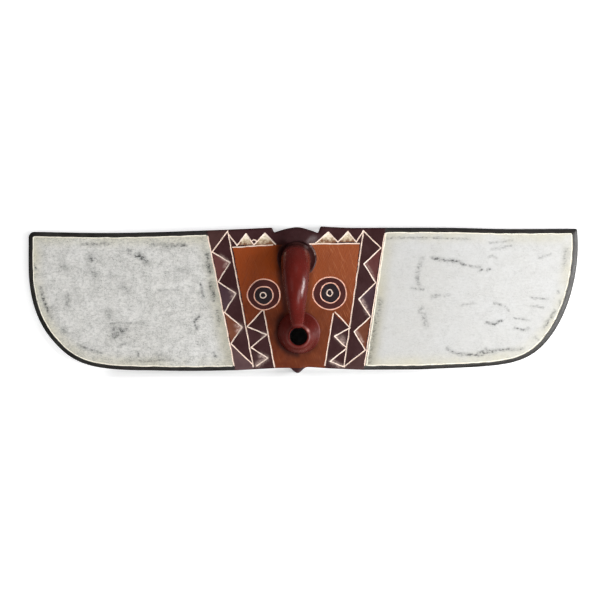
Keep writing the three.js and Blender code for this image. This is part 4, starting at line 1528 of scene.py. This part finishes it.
def oxblood_paint():
    """The beak's and mouth's polished dark red, browner at the root and partly shaded there in paint,
    with painted shadow on their left and painted highlights on the mouth.
    """
    paint = Paint("oxblood", Specular_IOR_Level=0.23)
    tree = paint.tree
    marks = paint.brushed(turn=1.57, width=0.0013, length=0.02)
    root = wear_and_painted_light(tree, "root")
    paint.blend(paint.clouds(size=0.014, contrast=2.2), (92, 28, 22), (108, 36, 31))
    paint.lay((62, 14, 13), marks["Share"], 0.25)
    # Painted shade on the beak's steep root, which is browner there too
    paint.lay((70, 30, 28), root)
    # Painted shadow on the mouth's left side and along the beak
    paint.lay((44, 12, 10), wear_and_painted_light(tree, "painted_shadow"), 0.7)
    # Painted highlights on the mouth's lip, flank and foot
    paint.lay((228, 166, 158), wear_and_painted_light(tree, "lip"))
    polished = ranged(tree, marks["Share"], 0.0, 1.0, 0.2, 0.28)
    return paint.finish(maths(tree, "MULTIPLY_ADD", root, 0.3, polished), marks["Height"], 0.00015)


def rim_paint():
    """The charcoal black of the rims and edges, polished by handling."""
    paint = Paint("charcoal_rim", Specular_IOR_Level=0.3)
    clouds = paint.clouds(size=0.02, contrast=2.4)
    grain = paint.grain(spacing=0.0018, length=0.05)
    paint.blend(clouds, (38, 36, 34), (60, 58, 56))
    paint.lay((26, 24, 23), grain["Share"], 0.3)
    paint.lay((128, 124, 116), paint.specks(size=0.0018, cover=0.1, softness=0.08), 0.35)
    return paint.finish(ranged(paint.tree, clouds, 0.0, 1.0, 0.38, 0.5), grain["Height"], 0.0005)


def stained_wood(name, dark, light):
    """Bare wood stained dark, with its grain."""
    paint = Paint(name, Specular_IOR_Level=0.3)
    grain = paint.grain(spacing=0.0026, length=0.08)
    clouds = paint.clouds(size=0.03, contrast=2.2)
    paint.blend(grain["Share"], dark, light)
    paint.lay([part * 0.7 for part in dark], clouds, 0.5)
    return paint.finish(ranged(paint.tree, clouds, 0.0, 1.0, 0.6, 0.78), grain["Height"], 0.0008)


# Each dark paint's two colours, and how rough it is where that differs
DARK_PAINTS = {
    "aubergine": [(52, 26, 27), (62, 35, 37)],
    "worn_brown": [(68, 44, 42), (76, 50, 48)],
    "red_brown": [(92, 50, 49), (102, 61, 58)],
    "plum": [(64, 43, 50), (77, 56, 62)],
    "rust": [(103, 57, 40), (118, 70, 50)],
    "mauve": [(82, 59, 61), (96, 72, 72)],
    "eye_maroon": [(66, 30, 29), (79, 37, 35)],
    "eye_black": [(38, 29, 31), (50, 39, 46)],
    "chin_maroon": [(50, 24, 27), (60, 32, 34)],
    "collar_brown": [(56, 26, 25), (66, 34, 32), 0.36],
}
# Each line's colour, the shade where it has worn off, and how much of it has
LINE_PAINTS = {
    "cream_line": [(255, 236, 222), (150, 104, 92), 0.14],
    "peach_line": [(255, 211, 191), (150, 92, 76), 0.2],
    "chalk_line": [(255, 251, 238), (124, 120, 110), 0.16],
}


def all_paints():
    """Every paint of the mask by its name."""
    paints = [dark_paint(name, *look) for name, look in DARK_PAINTS.items()]
    paints += [clay_paint(), brow_paint(), oxblood_paint(), white_paint(), rim_paint()]
    paints += [line_paint(name, *look) for name, look in LINE_PAINTS.items()]
    paints.append(stained_wood("back_wood", (58, 38, 27), (88, 60, 42)))
    paints.append(stained_wood("bore_wood", (16, 9, 8), (26, 14, 11)))
    return {paint.name: paint for paint in paints}


# The height above the board down to which the hole's rim is painted like the mouth
LIP_PAINT = 19.4


def paint_lip(mesh, paints):
    """Carries the mouth's red over the rim of its hole."""
    names = list(paints)
    bore, red = names.index("bore_wood"), names.index("oxblood")
    for face in mesh.polygons:
        if face.material_index == bore and face.center.z > (BOARD + LIP_PAINT) * MM:
            face.material_index = red


# The mask
SCOOP_SIZE = 0.011
SHARP_ANGLE = math.radians(34)


def painted_board(outline, lines, rims, chips, eyes, brow_chips, paints):
    """The gouged board with a paint on each of its faces."""
    front = front_sheet(outline, lines, rims, chips)
    back = back_sheet(outline)
    board = board_object(outline, front, back)
    corners, triangles, _ = front
    middles = corners[triangles].mean(axis=1)[:, :2]
    chosen = front_paints(middles, outline, lines, rims, eyes, brow_chips)
    names = list(paints)
    walls = len(outline) * (len(WALL_LEVELS) + 2)
    index = np.full(len(board.data.polygons), names.index("back_wood"))
    index[: len(triangles)] = [names.index(name) for name in chosen]
    index[len(triangles) : len(triangles) + walls] = names.index("charcoal_rim")
    values = {"Scoop Size": SCOOP_SIZE, "Paint": paints["back_wood"]}
    board = replaced(board, "gouged_board", grown(board, gouge_tree(), values))
    board.data.materials.clear()
    for paint in paints.values():
        board.data.materials.append(paint)
    board.data.polygons.foreach_set("material_index", index.astype(np.int32))
    return board


def butterfly_mask():
    """The whole mask as one carved and painted piece."""
    paints = all_paints()
    outline = outline_loop()
    eyes = [
        [eye_ring(eye, number, EYE_SEED + 10 * side + number) for number in range(3)]
        for side, eye in enumerate((LEFT_EYE, RIGHT_EYE))
    ]
    lines = carving_lines(outline) + [ring for rings in eyes for ring in rings]
    rims = rim_lines(outline)
    brow_chips = chips_of(LEFT_BROW_ZIGZAG, 1) + chips_of(RIGHT_BROW_ZIGZAG, 0)
    chips = [
        *chips_of(LEFT_ZIGZAG, 1), *chips_of(RIGHT_ZIGZAG, 1),
        *chips_of(LEFT_CHEEK_ZIGZAG, 1), *chips_of(RIGHT_CHEEK_ZIGZAG, 1), *brow_chips,
    ]
    board = painted_board(outline, lines, rims, chips, eyes, brow_chips, paints)
    mouth, bore = mouth_objects(paints["oxblood"], paints["bore_wood"])
    mask = combined(board, [beak_object(paints["oxblood"]), mouth], bore)
    paint_lip(mask.data, paints)
    mask.data.shade_smooth()
    mask.data.set_sharp_from_angle(angle=SHARP_ANGLE)
    measure_wear_and_painted_light(mask.data, outline, brow_chips)
    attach(mask, "root")
    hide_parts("mask")
    return mask


# Camera, light and floor
FRAME_PIXELS = 600
CAMERA_HEIGHT = 3.5
FOCUS_HEIGHT = 0.012  # the height at which a pixel is MM_PER_PIXEL wide


def camera():
    """Looks straight down on the mask as it lies."""
    data = bpy.data.cameras.new("camera")
    width = FRAME_PIXELS * MM_PER_PIXEL * MM
    data.sensor_width = 36
    data.lens = data.sensor_width * (CAMERA_HEIGHT - FOCUS_HEIGHT) / width
    data.clip_end = 50
    middle = FRAME_PIXELS / 2
    made = placed("camera", data)
    made.location = (*from_photo([(middle, middle)])[0] * MM, CAMERA_HEIGHT)
    bpy.context.scene.camera = made


# Softboxes that light the mask, as [degrees from the right, degrees off straight up, power]
SOFTBOXES = {
    "right_light": [-6, 50, 35.7],
    "top_light": [88, 45, 7.9],
    "left_light": [178, 45, 9.1],
    "bottom_light": [282, 48, 16.5],
}
SOFTBOX_SIZE = 0.9
SOFTBOX_DISTANCE = 2
# Narrow lights that are only seen as streaks on polished paint: their ends, width and power
STREAKS = {
    "right_streak": [(1.58, 0.26, 0.25), (1.33, -0.5, 0.83), 0.4, 42],
    "low_streak": [(1.0, -0.33, 1.28), (0.46, -1.1, 1.12), 0.45, 12.5],
    "left_streak": [(-1.1, 0.32, 1.22), (-0.9, -0.49, 1.31), 0.2, 0.7],
    "small_streak": [(0.22, 1.29, 1.05), (0.16, 1.02, 1.33), 0.14, 0.42],
}
ROOM_LIGHT = 0.015


def lamp(name, place, along, size, power):
    """A rectangular soft light that faces the mask, with its long side along a direction."""
    data = bpy.data.lights.new(name, "AREA")
    data.shape = "RECTANGLE"
    data.size, data.size_y = size
    data.energy = power
    back = Vector(place).normalized()
    side = (Vector(along) - back * back.dot(Vector(along))).normalized()
    turn = Matrix((side, back.cross(side), back)).transposed()
    made = placed(name, data)
    made.matrix_world = Matrix.Translation(place) @ turn.to_4x4()
    return made


def studio():
    """Soft light from all round, none of it from straight above, and the four narrow lights."""
    for name, (turn, lean, power) in SOFTBOXES.items():
        turn, lean = math.radians(turn), math.radians(lean)
        flat = SOFTBOX_DISTANCE * math.sin(lean)
        place = (flat * math.cos(turn), flat * math.sin(turn), SOFTBOX_DISTANCE * math.cos(lean))
        along = (-math.sin(turn), math.cos(turn), 0)
        made = lamp(name, place, along, (SOFTBOX_SIZE, SOFTBOX_SIZE), power)
        made.visible_glossy = False
    for name, (near, far, width, power) in STREAKS.items():
        near, far = Vector(near), Vector(far)
        made = lamp(name, (near + far) / 2, far - near, ((far - near).length, width), power)
        made.visible_diffuse = False
    world = bpy.data.worlds.new("room")
    world.use_nodes = True
    background = world.node_tree.nodes["Background"]
    background.inputs["Color"].default_value = (1, 1, 1, 1)
    background.inputs["Strength"].default_value = ROOM_LIGHT
    bpy.context.scene.world = world
    bpy.context.scene.view_settings.view_transform = "Standard"


FLOOR_HALF = 6000  # in millimetres, like its height
FLOOR_HEIGHT = -0.4
FLOOR_GLOW = 0.5
GLOW_EDGE = [0.07, 0.09]  # nearer the mask's middle than this the floor has no glow
GLOW_FOOT = [-0.094, -0.087]  # close below the mask's foot there is hardly any either
GLOW_BELOW = [-0.108, -0.098]  # further below than this it is back
GLOW_ASIDE = [0.24, 0.29]  # and so it is this far to the sides
GLOW_END = [0.35, 0.368]  # past the mask's right end there is hardly any
WEAK_GLOW = 0.15


def floor():
    """A plain pale floor, lit from below round the mask, so that only the nearest shadow shows."""
    sides = ((-1, -1), (1, -1), (1, 1), (-1, 1))
    corners = [[x * FLOOR_HALF, y * FLOOR_HALF, FLOOR_HEIGHT] for x, y in sides]
    made = make_object("floor", corners, [], [(0, 1, 2, 3)])
    made.visible_glossy = False
    paint = Paint("floor_paper", Roughness=0.9, Emission_Strength=FLOOR_GLOW)
    tree = paint.tree
    place = parts_of(tree, paint.place)
    paint.blend(paint.clouds(size=0.4, contrast=0.6), (243, 243, 243), (240, 240, 240))
    middle = add(tree, "ShaderNodeVectorMath", {"Vector": paint.place}, operation="LENGTH")
    glow = ranged(tree, middle.outputs["Value"], *GLOW_EDGE)
    foot = ranged(tree, place["Y"], *GLOW_FOOT, WEAK_GLOW, 1.0)
    foot = maths(tree, "ADD", foot, ranged(tree, place["Y"], *GLOW_BELOW, 1.0, 0.0))
    aside = ranged(tree, maths(tree, "ABSOLUTE", place["X"]), *GLOW_ASIDE)
    foot = maths(tree, "ADD", foot, aside, clamp=True)
    end = ranged(tree, place["X"], *GLOW_END, 1.0, WEAK_GLOW)
    glow = maths(tree, "MULTIPLY", glow, maths(tree, "MULTIPLY", foot, end))
    paint.link(Base_Color=paint.colour, Emission_Color=glow)
    made.data.materials.append(paint.material)


camera()
studio()
floor()
butterfly_mask()
